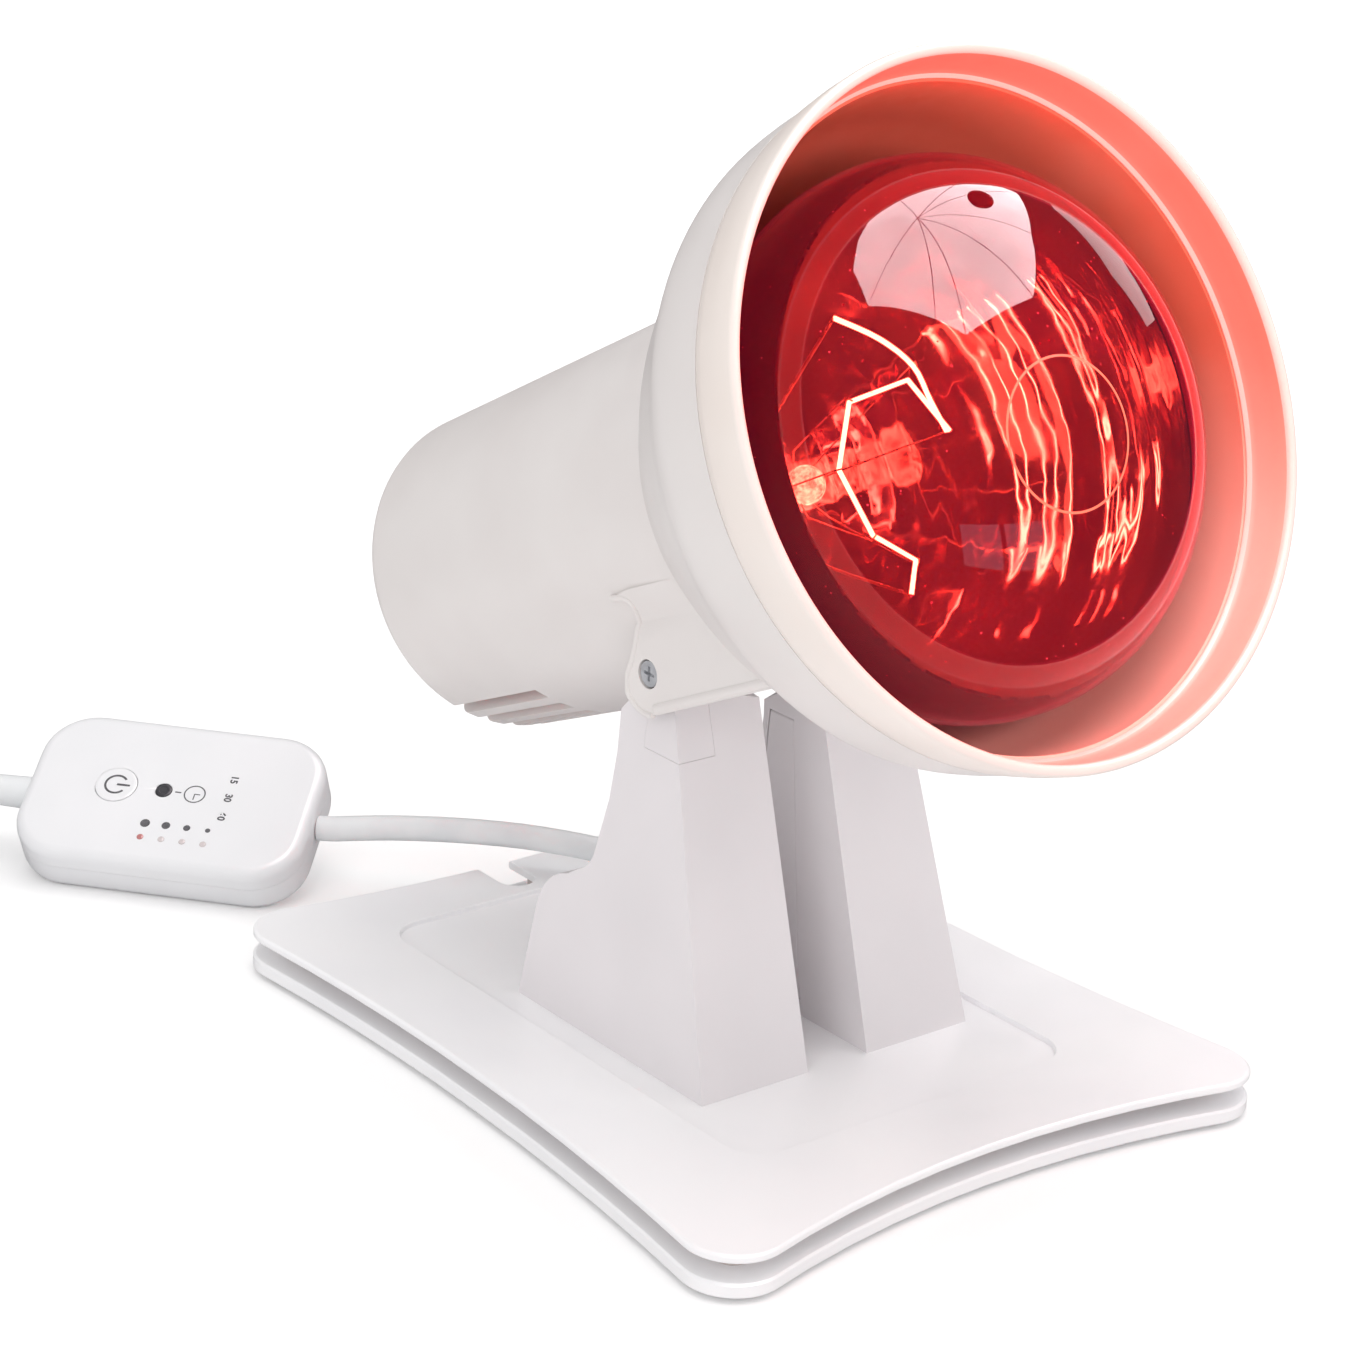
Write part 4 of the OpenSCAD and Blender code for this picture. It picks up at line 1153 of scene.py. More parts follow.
@dataclass
class ReflectorBulb:
    """The red reflector bulb: glass, mirror coat, stem, filament and its wires."""

    finishes: Finishes
    wide_a: float = 76.0
    wide_r: float = 61.0
    dome_h: float = 40.0
    fullness: float = 2.15
    glass: float = 1.0
    neck_a: float = -36.0
    coat_front_a: float = 89.0
    coat_gap: float = 0.15
    coat_t: float = 0.35
    filament_r: float = 0.55
    support_r: float = 0.2
    lead_in_r: float = 0.4
    bead_r: float = 4.6
    flare: tuple[Point2, ...] = (
        (-36, 13.8), (-26, 17), (-12, 21.5), (6, 29), (25, 38.8), (45, 50), (60, 57.2), (70, 60.4), (76, 61),
    )
    bow: tuple[Point3, ...] = (
        (-2.6, 32.8, 50), (9.0, 26.7, 50), (16.8, 19.6, 50), (19.4, 11.6, 50), (22.1, 4.1, 50),
    )
    ring: tuple[Point3, ...] = (
        (21.5, 4.0, 51.6), (13.4, 16.7, 51), (-8, 13.6, 55), (-16, -0.4, 56), (-10, -15.5, 55),
        (4.6, -22.4, 50), (2, -29.5, 49),
    )
    stem_tip_a: float = 29.0

    def dome(self, a: float, inset: float = 0.0) -> float:
        """Radius of the dome at a, shrunk by inset."""
        reach = 1 - max((a - self.wide_a) / (self.dome_h - inset), 0.0) ** self.fullness
        return (self.wide_r - inset) * max(reach, 0.0) ** (1 / self.fullness)

    def outline(self, inset: float) -> list[Point2]:
        """The bulb's line from the neck to the top of the dome, shrunk by inset."""
        flare = [(p[0], p[1] - inset) for p in smooth_line(self.flare, 5)]
        height = self.dome_h - inset
        rise = [self.wide_a + height * math.sin(math.radians(90 * k / 30)) for k in range(1, 31)]
        return flare + [(a, 0.0 if k == 29 else self.dome(a, inset)) for k, a in enumerate(rise)]

    def matrix(self) -> Matrix:
        """The bulb's place, a little below the head's axis."""
        return HEAD.matrix(BULB_DROP)

    def build(self) -> None:
        """Builds the bulb in place of its CAD nodes."""
        self.envelope()
        self.mirror_coat()
        self.stem()
        self.filament_and_wires()
        self.printed_ring()

    def envelope(self) -> None:
        """The glass: its outer skin, and an inner one that faces the hollow."""
        floor_a = self.neck_a + self.glass
        bm = spun([(self.neck_a, 0.0)] + self.outline(0.0), 160, close=False)
        hollow = [(floor_a, 0.0)] + [(max(a, floor_a), r) for a, r in self.outline(self.glass)]
        inner = spun(hollow, 160, close=False)
        bmesh.ops.reverse_faces(inner, faces=inner.faces[:])
        join(bm, inner)
        turned(bm, self.matrix())
        add_piece(bm, "red_glass_envelope", [self.finishes.red_glass], (Body.HEAD, Slot.RED_GLASS), ["bulb_glass"])

    def mirror_coat(self) -> None:
        """The coat inside the flare, with shallow steps near its front, and its back in a painted dark reflection."""
        skin = [(a, r - self.coat_gap) for a, r in self.outline(self.glass) if -20 < a <= self.wide_a]
        front = [self.wide_a + (self.coat_front_a - self.wide_a) * k / 6 for k in range(1, 7)]
        skin += [(a, self.dome(a, self.glass) - self.coat_gap) for a in front]
        # The blown steps grow from the neck to the front
        steps = [math.sin(a * 0.9) ** 2 * min(max((a - 10) / 30, 0), 1) for a, _ in skin]
        face = [(a, r - self.coat_t * (1 + step)) for (a, r), step in zip(skin, steps)]
        bm = turned(spun(skin + face[::-1], 160), self.matrix())
        axis = self.matrix().to_3x3() @ Vector((0, 0, 1))
        start = self.matrix().translation
        for poly in bm.faces:
            spoke = poly.calc_center_median() - start
            spoke -= axis * spoke.dot(axis)
            # Faces towards the glass take the painted dark reflection
            poly.material_index = 0 if poly.normal.dot(spoke) < 0 else 1
        looks = [self.finishes.mirror, self.finishes.mirror_back]
        add_piece(bm, "mirror_coat_skin", looks, (Body.HEAD, Slot.COAT), ["bulb_mirror"])

    def stem(self) -> None:
        """The glass stem: a flared foot, a pinch and a bead."""
        foot, tip = self.neck_a + self.glass + 0.3, self.stem_tip_a
        line: list[Point2] = [(foot, 0), (foot, 9), (foot + 3, 8.2), (foot + 8, 5.2), (foot + 14, 4.2)]
        line += [(foot + 24, 3.6), (tip - 14, 3.0), (tip - 9.6, 3.0)]
        turn = [math.radians(a) for a in range(-50, 81, 10)]
        long_r = self.bead_r + 0.1
        line += [(tip - long_r + long_r * math.sin(t), self.bead_r * math.cos(t)) for t in turn] + [(tip, 0.0)]
        bm = turned(spun(line, 48, close=False), self.matrix())
        add_piece(bm, "stem_glass", [self.finishes.clear_glass], (Body.HEAD, Slot.CLEAR_GLASS), ["bulb_stem"])

    def wires(
        self,
        name: str,
        lines: Sequence[Sequence[Vector]],
        radius: float,
        material: bpy.types.Material,
        slot: Slot,
        node: str,
    ) -> None:
        """Bends wires along lines.

        Args:
            name: The piece's name.
            lines: The lines, in millimetres in the bulb's frame.
            radius: The wires' radius in millimetres.
            material: Their finish.
            slot: Their material slot.
            node: The CAD node that they stand for.
        """
        bm = bmesh.new()
        bm.from_mesh(made_mesh(bent_wire(name, lines, radius, 2, self.matrix())))
        add_piece(bm, name, [material], (Body.HEAD, slot), [node])

    def filament_and_wires(self) -> None:
        """The filament on its support wires, and the two lead-in wires."""
        bow, ring = smooth_line(self.bow, 4), [Vector(p) for p in self.ring]
        self.wires("filament_coil", [bow, ring], self.filament_r, self.finishes.hot, Slot.HOT_WIRE, "filament")
        ahead = Vector((0, 0, 1))
        bead = ahead * (self.stem_tip_a - self.bead_r)
        stays, leads = [], []
        for at in [Vector(self.bow[2]), Vector(self.bow[4])] + ring[2:6]:
            aside = Vector((at.x, at.y, 0)).normalized()
            stays.append([bead + aside * 4.8, bead + aside * 9 + ahead * 4, at + aside * 1.3, at + ahead * 1.2])
        for at in (Vector(self.bow[0]), ring[-1]):
            aside = Vector((at.x, at.y, 0)).normalized()
            route = [aside * out + ahead * a for out, a in ((4.7, -4), (10, 8), (20, 26))]
            leads.append(smooth_line(route + [at], 5))
        nickel = self.finishes.nickel
        self.wires("support_wires", stays, self.support_r, nickel, Slot.WIRE, "filament_supports")
        self.wires("lead_in_wire_pair", leads, self.lead_in_r, nickel, Slot.WIRE, "lead_in_wires")

    def printed_ring(self) -> None:
        """A plain printed ring on the dome."""
        centre, radius, width, thick = Vector((-4.5, -6.2)), 16.2, 0.5, 0.03
        bm = bmesh.new()
        bmesh.ops.create_circle(bm, segments=96, radius=(radius - width) * MM, cap_ends=False)
        made = bmesh.ops.extrude_edge_only(bm, edges=bm.edges[:])
        rim = [v for v in made["geom"] if isinstance(v, bmesh.types.BMVert)]
        bmesh.ops.scale(bm, vec=(radius / (radius - width),) * 2 + (1,), verts=rim)
        for vert in bm.verts:
            x, y = vert.co.x / MM + centre.x, vert.co.y / MM + centre.y
            share = (1 - (math.hypot(x, y) / self.wide_r) ** self.fullness) ** (1 / self.fullness)
            vert.co = Vector((x, y, self.wide_a + self.dome_h * share + 0.02)) * MM
        bmesh.ops.solidify(bm, geom=bm.faces[:], thickness=-thick * MM)
        turned(bm, self.matrix())
        add_piece(bm, "dome_print_ring", [self.finishes.bulb_ink], (Body.HEAD, Slot.RED_GLASS))


# --------------------------------------------------------------------------- stand


@dataclass
class Stand:
    """The base plates, the uprights and what is let into them."""

    finishes: Finishes
    frame: dict

    def build(self) -> None:
        """Builds softened copies in place of their CAD nodes."""
        look = self.finishes
        pieces: list[tuple[str, str, bpy.types.Material, float, Slot]] = [
            ("base_cover", "plate", look.base, 0.3, Slot.BASE),
            ("base_tray", "plate", look.base, 0.3, Slot.BASE),
            ("base_core", "wall", look.core, 0.2, Slot.BASE),
            ("left_upright", "moulding", look.stand, 0.8, Slot.SHELL),
            ("right_upright", "moulding", look.stand, 0.8, Slot.SHELL),
            ("left_inner_cover", "panel", look.stand, 0.6, Slot.SHELL),
            ("right_inner_cover", "panel", look.stand, 0.6, Slot.SHELL),
            ("left_pivot_block", "moulding", look.stand, 0.4, Slot.SHELL),
            ("right_pivot_block", "moulding", look.stand, 0.4, Slot.SHELL),
            ("upright_relief", "moulding", look.cord, 0.3, Slot.CORD),
        ]
        for node, form, material, width, slot in pieces:
            piece = softened(self.frame, node, f"{node}_{form}", material, width)
            finish_piece(piece, Body.STAND, slot, [node])


# --------------------------------------------------------------------------- controller


@dataclass(frozen=True)
class ControllerFrame:
    """Places the controller's own frame: X along it, Y up its face, Z out of its face."""

    at: Point3 = (-64.0, 156.0, 0.0)
    turn_deg: float = -49.0
    tilt_deg: float = 29.0
    width: float = 48.0
    thick: float = 15.0
    edge: float = 3.0

    def matrix(self) -> Matrix:
        """The frame in metres."""
        tilt, lower = math.radians(self.tilt_deg), self.thick - self.edge
        height = (self.width / 2 - self.edge) * math.sin(tilt) + lower * math.cos(tilt) + self.edge
        place = shift(self.at[0], self.at[1], height)
        return place @ Matrix.Rotation(math.radians(self.turn_deg), 4, "Z") @ Matrix.Rotation(tilt, 4, "X")

    def end(self, along: float) -> Vector:
        """A point at the middle of the thickness, along the case, in millimetres."""
        return (self.matrix() @ Vector((along * MM, 0, -self.thick / 2 * MM))) / MM


CONTROL = ControllerFrame()


@dataclass
class Controller:
    """The in-line controller with its two keys, its lamps and its plain print."""

    finishes: Finishes
    length: float = 78.0
    corner: float = 14.0
    split: float = 6.0
    power_at: Point2 = (-15.0, 0.5)
    timer_at: Point2 = (-2.0, 0.5)
    power_r: float = 5.6
    timer_r: float = 2.2
    key_gap: float = 0.15
    wall: float = 1.6
    print_t: float = 0.03
    key_print: float = 0.24  # height of the power key's print above the case's face
    first_lamp_x: float = -3.7
    lamp_pitch: float = 5.65
    lamp_r: float = 0.9
    lamps_y: float = -15.5
    dots_y: float = -10.9
    clock_at: Point2 = (6.5, 0.4)
    numbers_x: float = 15.5
    number_size: float = 2.7

    def build(self) -> None:
        """Builds the controller in place of its CAD nodes."""
        for lower in (False, True):
            self.half(lower)
        finishes = self.finishes
        power = (self.power_at, self.power_r, 0.3, finishes.control, Body.POWER, "power_button", Slot.CONTROL)
        timer = (self.timer_at, self.timer_r, 0.2, finishes.grey, Body.TIMER, "timer_button", Slot.GREY_KEY)
        self.key("power_key_cap", *power)
        self.key("timer_key_cap", *timer)
        self.lamps()
        self.print_marks()

    def half(self, lower: bool) -> None:
        """One half of the rounded case.

        Args:
            lower: The base half in place of the top one.
        """
        bm = rounded_box((self.length, CONTROL.width, CONTROL.thick), self.corner, CONTROL.edge)
        turned(bm, shift(0, 0, -CONTROL.thick / 2))
        seam = (-self.split - 0.08 if lower else -self.split + 0.02) * MM
        geometry = bm.verts[:] + bm.edges[:] + bm.faces[:]
        outwards = (0, 0, 1 if lower else -1)
        bmesh.ops.bisect_plane(bm, geom=geometry, plane_co=(0, 0, seam), plane_no=outwards, clear_outer=True)
        made = bmesh.ops.extrude_edge_only(bm, edges=[e for e in bm.edges if e.is_boundary])
        inner = [v for v in made["geom"] if isinstance(v, bmesh.types.BMVert)]
        bmesh.ops.scale(bm, vec=(0.97, 0.955, 1), verts=inner)
        name, node = ("lower_case", "base") if lower else ("upper_case", "top")
        piece = to_object(bm, f"controller_{name}", [self.finishes.control], 40)
        if not lower:
            tools = []
            for (x, y), radius in ((self.power_at, self.power_r), (self.timer_at, self.timer_r)):
                hole = turned(rod(radius + self.key_gap, 8), shift(x, y, 0))
                tools.append(to_object(hole, "key_hole", [self.finishes.control]))
            thick = piece.modifiers.new("wall", "SOLIDIFY")
            thick.thickness = self.wall * MM
            thick.offset = -1
            cut(piece, tools)
            flatten_shading(piece)
        piece.data.transform(CONTROL.matrix())
        finish_piece(piece, Body.STAND, Slot.CONTROL, [f"controller_{node}"])

    def key(
        self,
        name: str,
        at: Point2,
        radius: float,
        proud: float,
        material: bpy.types.Material,
        body: Body,
        node: str,
        slot: Slot,
    ) -> None:
        """A round key with a softly dished top.

        Args:
            name: The piece's name.
            at: Its centre on the face.
            radius: Its radius.
            proud: How far it stands out of the face.
            material: Its finish.
            body: The body that it rides on.
            node: The CAD node that it stands for.
            slot: Its material slot.
        """
        line: list[Point2] = [
            (-3.0, 0), (-3.0, radius + 0.7), (-2.2, radius + 0.7), (-2.2, radius),
            (proud - 0.35, radius), (proud - 0.1, radius - 0.1), (proud, radius - 0.4),
            (proud - 0.02, radius - 1.0), (proud - 0.12, radius * 0.5), (proud - 0.15, 0),
        ]
        bm = spun(line, 64, close=False)
        turned(bm, CONTROL.matrix() @ shift(*at, 0))
        add_piece(bm, name, [material], (body, slot), [node], 40)

    def lamps(self) -> None:
        """The four small level lamps, the first of them reddish."""
        bm = bmesh.new()
        for k in range(4):
            bead = bmesh.new()
            bmesh.ops.create_uvsphere(bead, u_segments=20, v_segments=10, radius=self.lamp_r * MM)
            bmesh.ops.scale(bead, vec=(1, 1, 0.3), verts=bead.verts)
            turned(bead, shift(self.first_lamp_x + self.lamp_pitch * k, self.lamps_y, 0.02))
            for face in bead.faces:
                face.material_index = int(k == 0)
            join(bm, bead)
        turned(bm, CONTROL.matrix())
        looks = [self.finishes.led, self.finishes.led_red]
        add_piece(bm, "level_lamp_lenses", looks, (Body.STAND, Slot.LED), ["level_leds"])

    def print_marks(self) -> None:
        """The plain marks: a ring and bar, a clock, four dots and three numbers."""
        dark, on_key = bmesh.new(), bmesh.new()
        self.arc(on_key, self.power_at, 3.2, 0.6, (38, 322), self.key_print)
        self.bar(on_key, (self.power_at[0] + 2.0, self.power_at[1]), (3.6, 0.62), self.key_print)
        self.arc(dark, self.clock_at, 2.9, 0.35)
        for at, size in (((2.0, 0.4), (1.7, 0.4)), ((7.2, 0.4), (1.6, 0.3)), ((6.5, -0.5), (0.3, 2.0))):
            self.bar(dark, at, size)
        for k, radius in enumerate((1.3, 1.15, 0.95, 0.7)):
            dot = rod(radius, self.print_t, 28)
            join(dark, turned(dot, shift(self.first_lamp_x + self.lamp_pitch * k, self.dots_y, self.print_t / 2)))
        for label, y in (("15", 6.7), ("30", 0.5), ("60", -5.8)):
            self.number(dark, label, (self.numbers_x, y))
        for bm, name, body in ((dark, "face_print", Body.STAND), (on_key, "key_print", Body.POWER)):
            turned(bm, CONTROL.matrix())
            add_piece(bm, name, [self.finishes.ink], (body, Slot.CONTROL))

    def arc(
        self,
        bm: bmesh.types.BMesh,
        at: Point2,
        radius: float,
        width: float,
        span: Point2 = (0, 360),
        height: float = 0.03,
    ) -> None:
        """Adds a thin flat arc of print.

        Args:
            bm: The mesh that takes it.
            at: Its centre on the face.
            radius: Its outer radius.
            width: Its width.
            span: Where it starts and stops, in degrees from the case's length.
            height: How far its top is above the face.
        """
        part = bmesh.new()
        first = [part.verts.new((r * MM, 0, (height - self.print_t) * MM)) for r in (radius - width, radius)]
        line = first + [part.edges.new(first)]
        turn = {"cent": (0, 0, 0), "axis": (0, 0, 1), "angle": math.radians(span[1] - span[0]), "steps": 48}
        bmesh.ops.spin(part, geom=line, use_merge=span[1] - span[0] >= 360, **turn)
        bmesh.ops.solidify(part, geom=part.faces[:], thickness=-self.print_t * MM)
        join(bm, turned(part, shift(*at, 0) @ Matrix.Rotation(math.radians(span[0]), 4, "Z")))

    def bar(self, bm: bmesh.types.BMesh, at: Point2, size: Point2, height: float = 0.03) -> None:
        """Adds a thin bar of print with round corners."""
        part = rounded_box((*size, self.print_t), min(size) * 0.3, 0.008)
        join(bm, turned(part, shift(*at, height - self.print_t / 2)))

    def number(self, bm: bmesh.types.BMesh, label: str, at: Point2) -> None:
        """Adds a plain number, read across the case."""
        curve = bpy.data.curves.new("number", "FONT")
        curve.body = label
        curve.size = self.number_size * MM
        curve.offset = 0.09 * MM
        curve.align_x = curve.align_y = "CENTER"
        curve.extrude = self.print_t / 2 * MM
        mesh = made_mesh(curve)
        mesh.transform(shift(*at, self.print_t / 2) @ Matrix.Rotation(math.radians(-90), 4, "Z"))
        bm.from_mesh(mesh)
        bpy.data.meshes.remove(mesh)


# --------------------------------------------------------------------------- cords


@dataclass
class Cords:
    """The lead between the lamp and the controller, and the mains lead with its coil."""

    finishes: Finishes
    frame: dict
    diameter: float = 6.6
    relief_end: Point3 = (26.0, 60.2, 17.3)
    lamp_route: tuple[Point3, ...] = (
        (-22, 114, 19.5), (-10, 102, 20.5), (2, 90, 20.5), (13, 78, 19.5), (21, 68, 18.2),
    )
    mains_route: tuple[Point3, ...] = (
        (-119, 220.5, 9), (-126, 227, 5.6), (-133, 232, 3.8), (-141, 236, 3.4), (-149, 238, 3.4),
    )
    tail_route: tuple[Point3, ...] = (
        (-208.6, 172, 4.4), (-208.6, 164, 6), (-208.6, 157, 7), (-208.6, 150.3, 7),
    )
    coil_at: Point2 = (-158.0, 188.0)
    radii: tuple[float, float, float] = (43.7, 37.0, 30.3)
    levels: tuple[float, float] = (3.35, 10.05)

    def build(self) -> None:
        """Builds both cords in place of their CAD nodes."""
        along = (CONTROL.end(1) - CONTROL.end(0)).normalized()
        start = Vector(self.relief_end)
        case_end = CONTROL.end(Controller(self.finishes).length / 2 + 0.3)
        route = [start + Vector((0, d, 0)) for d in (0, 4, 8)] + [Vector(p) for p in reversed(self.lamp_route)]
        route += [case_end + along * d + Vector((0, 0, rise)) for d, rise in ((8, 0.9), (4, 0.3), (0, 0))]
        line = smooth_line(route, 3)
        lead = self.tube("lamp_lead_cord", line)
        finish_piece(lead, Body.STAND, Slot.CORD, ["lamp_lead"])
        path = self.mains_path(along)
        mains = self.tube("mains_cord", path)
        finish_piece(mains, Body.STAND, Slot.CORD, ["mains_lead", "mains_coil", "mains_tail"])

    def on_coil(self, angle: float, radius: float, height: float) -> Vector:
        """A point of the coil at an angle in degrees."""
        turn = math.radians(angle)
        return Vector((self.coil_at[0] + radius * math.cos(turn), self.coil_at[1] + radius * math.sin(turn), height))

    def mains_path(self, along: Vector) -> list[Vector]:
        """The mains lead from the controller's relief through its coil to the plug.

        Args:
            along: The direction of the case, towards the lamp.

        Returns:
            The points of its centre line, in millimetres.
        """
        start = CONTROL.end(-Controller(self.finishes).length / 2 - 28.5)
        lead_in = smooth_line([start - along * d for d in (0, 4, 8)] + [Vector(p) for p in self.mains_route], 3)
        low, high = self.levels
        # Each full turn runs from 120 to 480 degrees and moves to its neighbour in the last 40
        tracks = [(r, low) for r in self.radii] + [(r, high) for r in reversed(self.radii)]
        turns: list[Vector] = []
        for index, (radius, level) in enumerate(tracks):
            following = tracks[index + 1] if index + 1 < len(tracks) else (radius, level)
            for angle in range(120, 480, 10):
                ease = min(max((angle - 440) / 40, 0), 1)
                ease = ease * ease * (3 - 2 * ease)
                here = radius + (following[0] - radius) * ease
                turns.append(self.on_coil(angle, here, level + (following[1] - level) * ease))
        blend = [self.on_coil(a, r, 3.36) for a, r in ((92, 49.3), (102, 46.6), (111, 44.5))]
        off = ((43.7, 10.05), (43.7, 10.05), (43.8, 10.05), (44.0, 10.0), (44.9, 9.9), (47.0, 9.5))
        leave = [self.on_coil(480 + 10 * k, r, z) for k, (r, z) in enumerate(off)]
        tail = smooth_line([Vector(p) for p in ((-208.4, 188, 8.2), (-208.6, 180, 6.0), *self.tail_route)], 3)
        return lead_in + blend + turns + leave + tail

    def tube(self, name: str, line: Sequence[Vector]) -> bpy.types.Object:
        """A round cord along a line.

        Args:
            name: The piece's name.
            line: Its centre line, in millimetres.

        Returns:
            The curve object.
        """
        curve = bent_wire(name, [line], self.diameter / 2, 6)
        curve.splines[0].use_smooth = True
        curve.materials.append(self.finishes.cord)
        return add_object(name, curve)


# --------------------------------------------------------------------------- carried-over nodes


@dataclass
class CarriedNodes:
    """CAD nodes whose shape is right, which only get a finish."""

    finishes: Finishes
    frame: dict

    def build(self) -> None:
        """Dresses the nodes."""
        finishes = self.finishes
        zinc = "base_ballast tray_screws upright_screws pivot_screws pivot_nuts holder_plate holder_screws"
        looks: list[tuple[bpy.types.Material, str]] = [
            (finishes.zinc, zinc + " controller_screws"),
            (finishes.rubber, "rubber_feet"),
            (finishes.black, "friction_washers bulb_insulator tact_switches"),
            (finishes.ceramic, "lamp_holder"),
            (finishes.brass, "holder_thread holder_contact bulb_contact plug_pins"),
            (finishes.tin, "bulb_cap"),
            (finishes.board, "circuit_board"),
            (finishes.cord, "mains_relief coil_tie plug_body"),
        ]
        for material, nodes in looks:
            for node in nodes.split():
                mesh = self.frame["nodes"][node].data
                mesh.materials.clear()
                mesh.materials.append(material)
            log.info("%s dresses %s", material.name, nodes)


# --------------------------------------------------------------------------- studio


def add_lamp(
    name: str, kind: str, place: Matrix, power: float, colour: str, **settings: str | float
) -> bpy.types.Object:
    """Adds a lamp that shows only by the light it throws, and not in gloss or glass.

    Args:
        name: Its name.
        kind: Blender's kind of lamp.
        place: Where it is.
        power: Its power in watts.
        colour: Its hex colour.
        **settings: Its shape and size.

    Returns:
        The lamp.
    """
    data = bpy.data.lights.new(name, kind)
    data.energy = power
    data.color = linear(colour)[:3]
    for key, value in settings.items():
        setattr(data, key, value)
    lamp = add_object(name, data)
    lamp.matrix_world = place
    lamp.visible_glossy = False
    lamp.visible_transmission = False
    return lamp


@dataclass
class Studio:
    """The pale floor, the light and the camera of the photograph."""

    camera_at: Point3 = (-476.276, -551.332, 358.923)
    azimuth_deg: float = -39.28
    elevation_deg: float = 20.34
    roll_deg: float = 3.02
    floor_lift: Point2 = (0.1, 0.45)  # extra white of the floor, near the lamp and far from it
    floor_reach: Point2 = (0.3, 1.1)  # metres from the lamp between which it rises
    dim_room: float = 0.22
    sky: float = 0.72
    dome_at: Point3 = (-19.0, -73.0, 210.0)
    lens_px: float = 3339.09
    centre_px: Point2 = (667.84, 691.54)
    room_colour: str = "8a7d84"

    def build(self) -> None:
        """Builds the floor, the world, the lamps and the camera."""
        bpy.context.scene.view_settings.view_transform = "Standard"
        self.floor()
        self.world()
        self.lamps()
        self.camera()

    def camera(self) -> None:
        """The camera, from the fit to the photograph."""
        az, el, roll = (math.radians(v) for v in (self.azimuth_deg, self.elevation_deg, self.roll_deg))
        back = Vector((math.sin(az) * math.cos(el), -math.cos(az) * math.cos(el), math.sin(el)))
        level = (-back).cross(Vector((0, 0, 1))).normalized()
        upward = level.cross(-back)
        right = level * math.cos(roll) + upward * math.sin(roll)
        up = upward * math.cos(roll) - level * math.sin(roll)
        data = bpy.data.cameras.new("photo_camera")
        data.sensor_width = 36.0
        data.lens = self.lens_px / IMAGE_PX * data.sensor_width
        data.shift_x = (IMAGE_PX / 2 - self.centre_px[0]) / IMAGE_PX
        data.shift_y = (self.centre_px[1] - IMAGE_PX / 2) / IMAGE_PX
        data.clip_start = 0.01
        data.clip_end = 50
        camera = add_object("photo_camera", data)
        turn = Matrix((right, up, back)).transposed().to_4x4()
        camera.matrix_world = shift(*self.camera_at) @ turn
        bpy.context.scene.camera = camera

    def rays(self, tree: bpy.types.NodeTree) -> tuple[bpy.types.NodeSocket, bpy.types.NodeSocket]:
        """Tells the camera's own rays from those that meet glass or a gloss first.

        Args:
            tree: The node tree.

        Returns:
            A socket that is 1 for the camera's rays, and one that is 1 beyond glass or gloss.
        """
        path = add_node(tree, "ShaderNodeLightPath").outputs
        either = {0: path["Is Transmission Ray"], 1: path["Is Glossy Ray"]}
        return path["Is Camera Ray"], add_node(tree, "ShaderNodeMath", either, operation="MAXIMUM").outputs[0]

    def floor(self) -> None:
        """A large pale floor that shows white, keeps the object's shadow and is dim in glass."""
        bm = bmesh.new()
        bmesh.ops.create_grid(bm, x_segments=4, y_segments=4, size=6.0)
        material, tree, shader, output = blank_material("studio_floor")
        feed(tree, shader, {"Base Color": linear("fbfbfb"), "Roughness": 0.9, "Specular IOR Level": 0.0})
        camera_ray, in_glass = self.rays(tree)
        place = add_node(tree, "ShaderNodeTexCoord").outputs["Object"]
        reach = add_node(tree, "ShaderNodeVectorMath", {0: place}, operation="LENGTH").outputs["Value"]
        span = {"From Min": self.floor_reach[0], "From Max": self.floor_reach[1]}
        span |= {"To Min": self.floor_lift[0], "To Max": self.floor_lift[1]}
        level = add_node(tree, "ShaderNodeMapRange", {"Value": reach, **span}).outputs[0]
        seen = add_node(tree, "ShaderNodeMath", {0: camera_ray, 1: level}, operation="MULTIPLY").outputs[0]
        lift = add_node(tree, "ShaderNodeEmission", {"Color": linear("ffffff"), "Strength": seen})
        bright = add_node(tree, "ShaderNodeAddShader", {0: shader.outputs[0], 1: lift.outputs[0]})
        dim = add_node(tree, "ShaderNodeEmission", {"Color": linear(self.room_colour), "Strength": self.dim_room})
        pick = add_node(tree, "ShaderNodeMixShader", {0: in_glass, 1: bright.outputs[0], 2: dim.outputs[0]})
        feed(tree, output, {0: pick.outputs[0]})
        to_object(bm, "studio_floor", [material])

    def world(self) -> None:
        """An even pale world: white to the camera, softer on the object, dim in the bulb's glass."""
        world = bpy.data.worlds.new("studio_world")
        world.use_nodes = True
        tree = world.node_tree
        tree.nodes.clear()
        output = add_node(tree, "ShaderNodeOutputWorld")
        looks = ((linear("fdfbfb"), self.sky), (linear("ffffff"), 1.0), (linear(self.room_colour), self.dim_room))
        soft, white, dim = (
            add_node(tree, "ShaderNodeBackground", {"Color": colour, "Strength": strength}).outputs[0]
            for colour, strength in looks
        )
        camera_ray, in_glass = self.rays(tree)
        lit = add_node(tree, "ShaderNodeMixShader", {0: in_glass, 1: soft, 2: dim}).outputs[0]
        mix = add_node(tree, "ShaderNodeMixShader", {0: camera_ray, 1: lit, 2: white})
        feed(tree, output, {0: mix.outputs[0]})
        bpy.context.scene.world = world

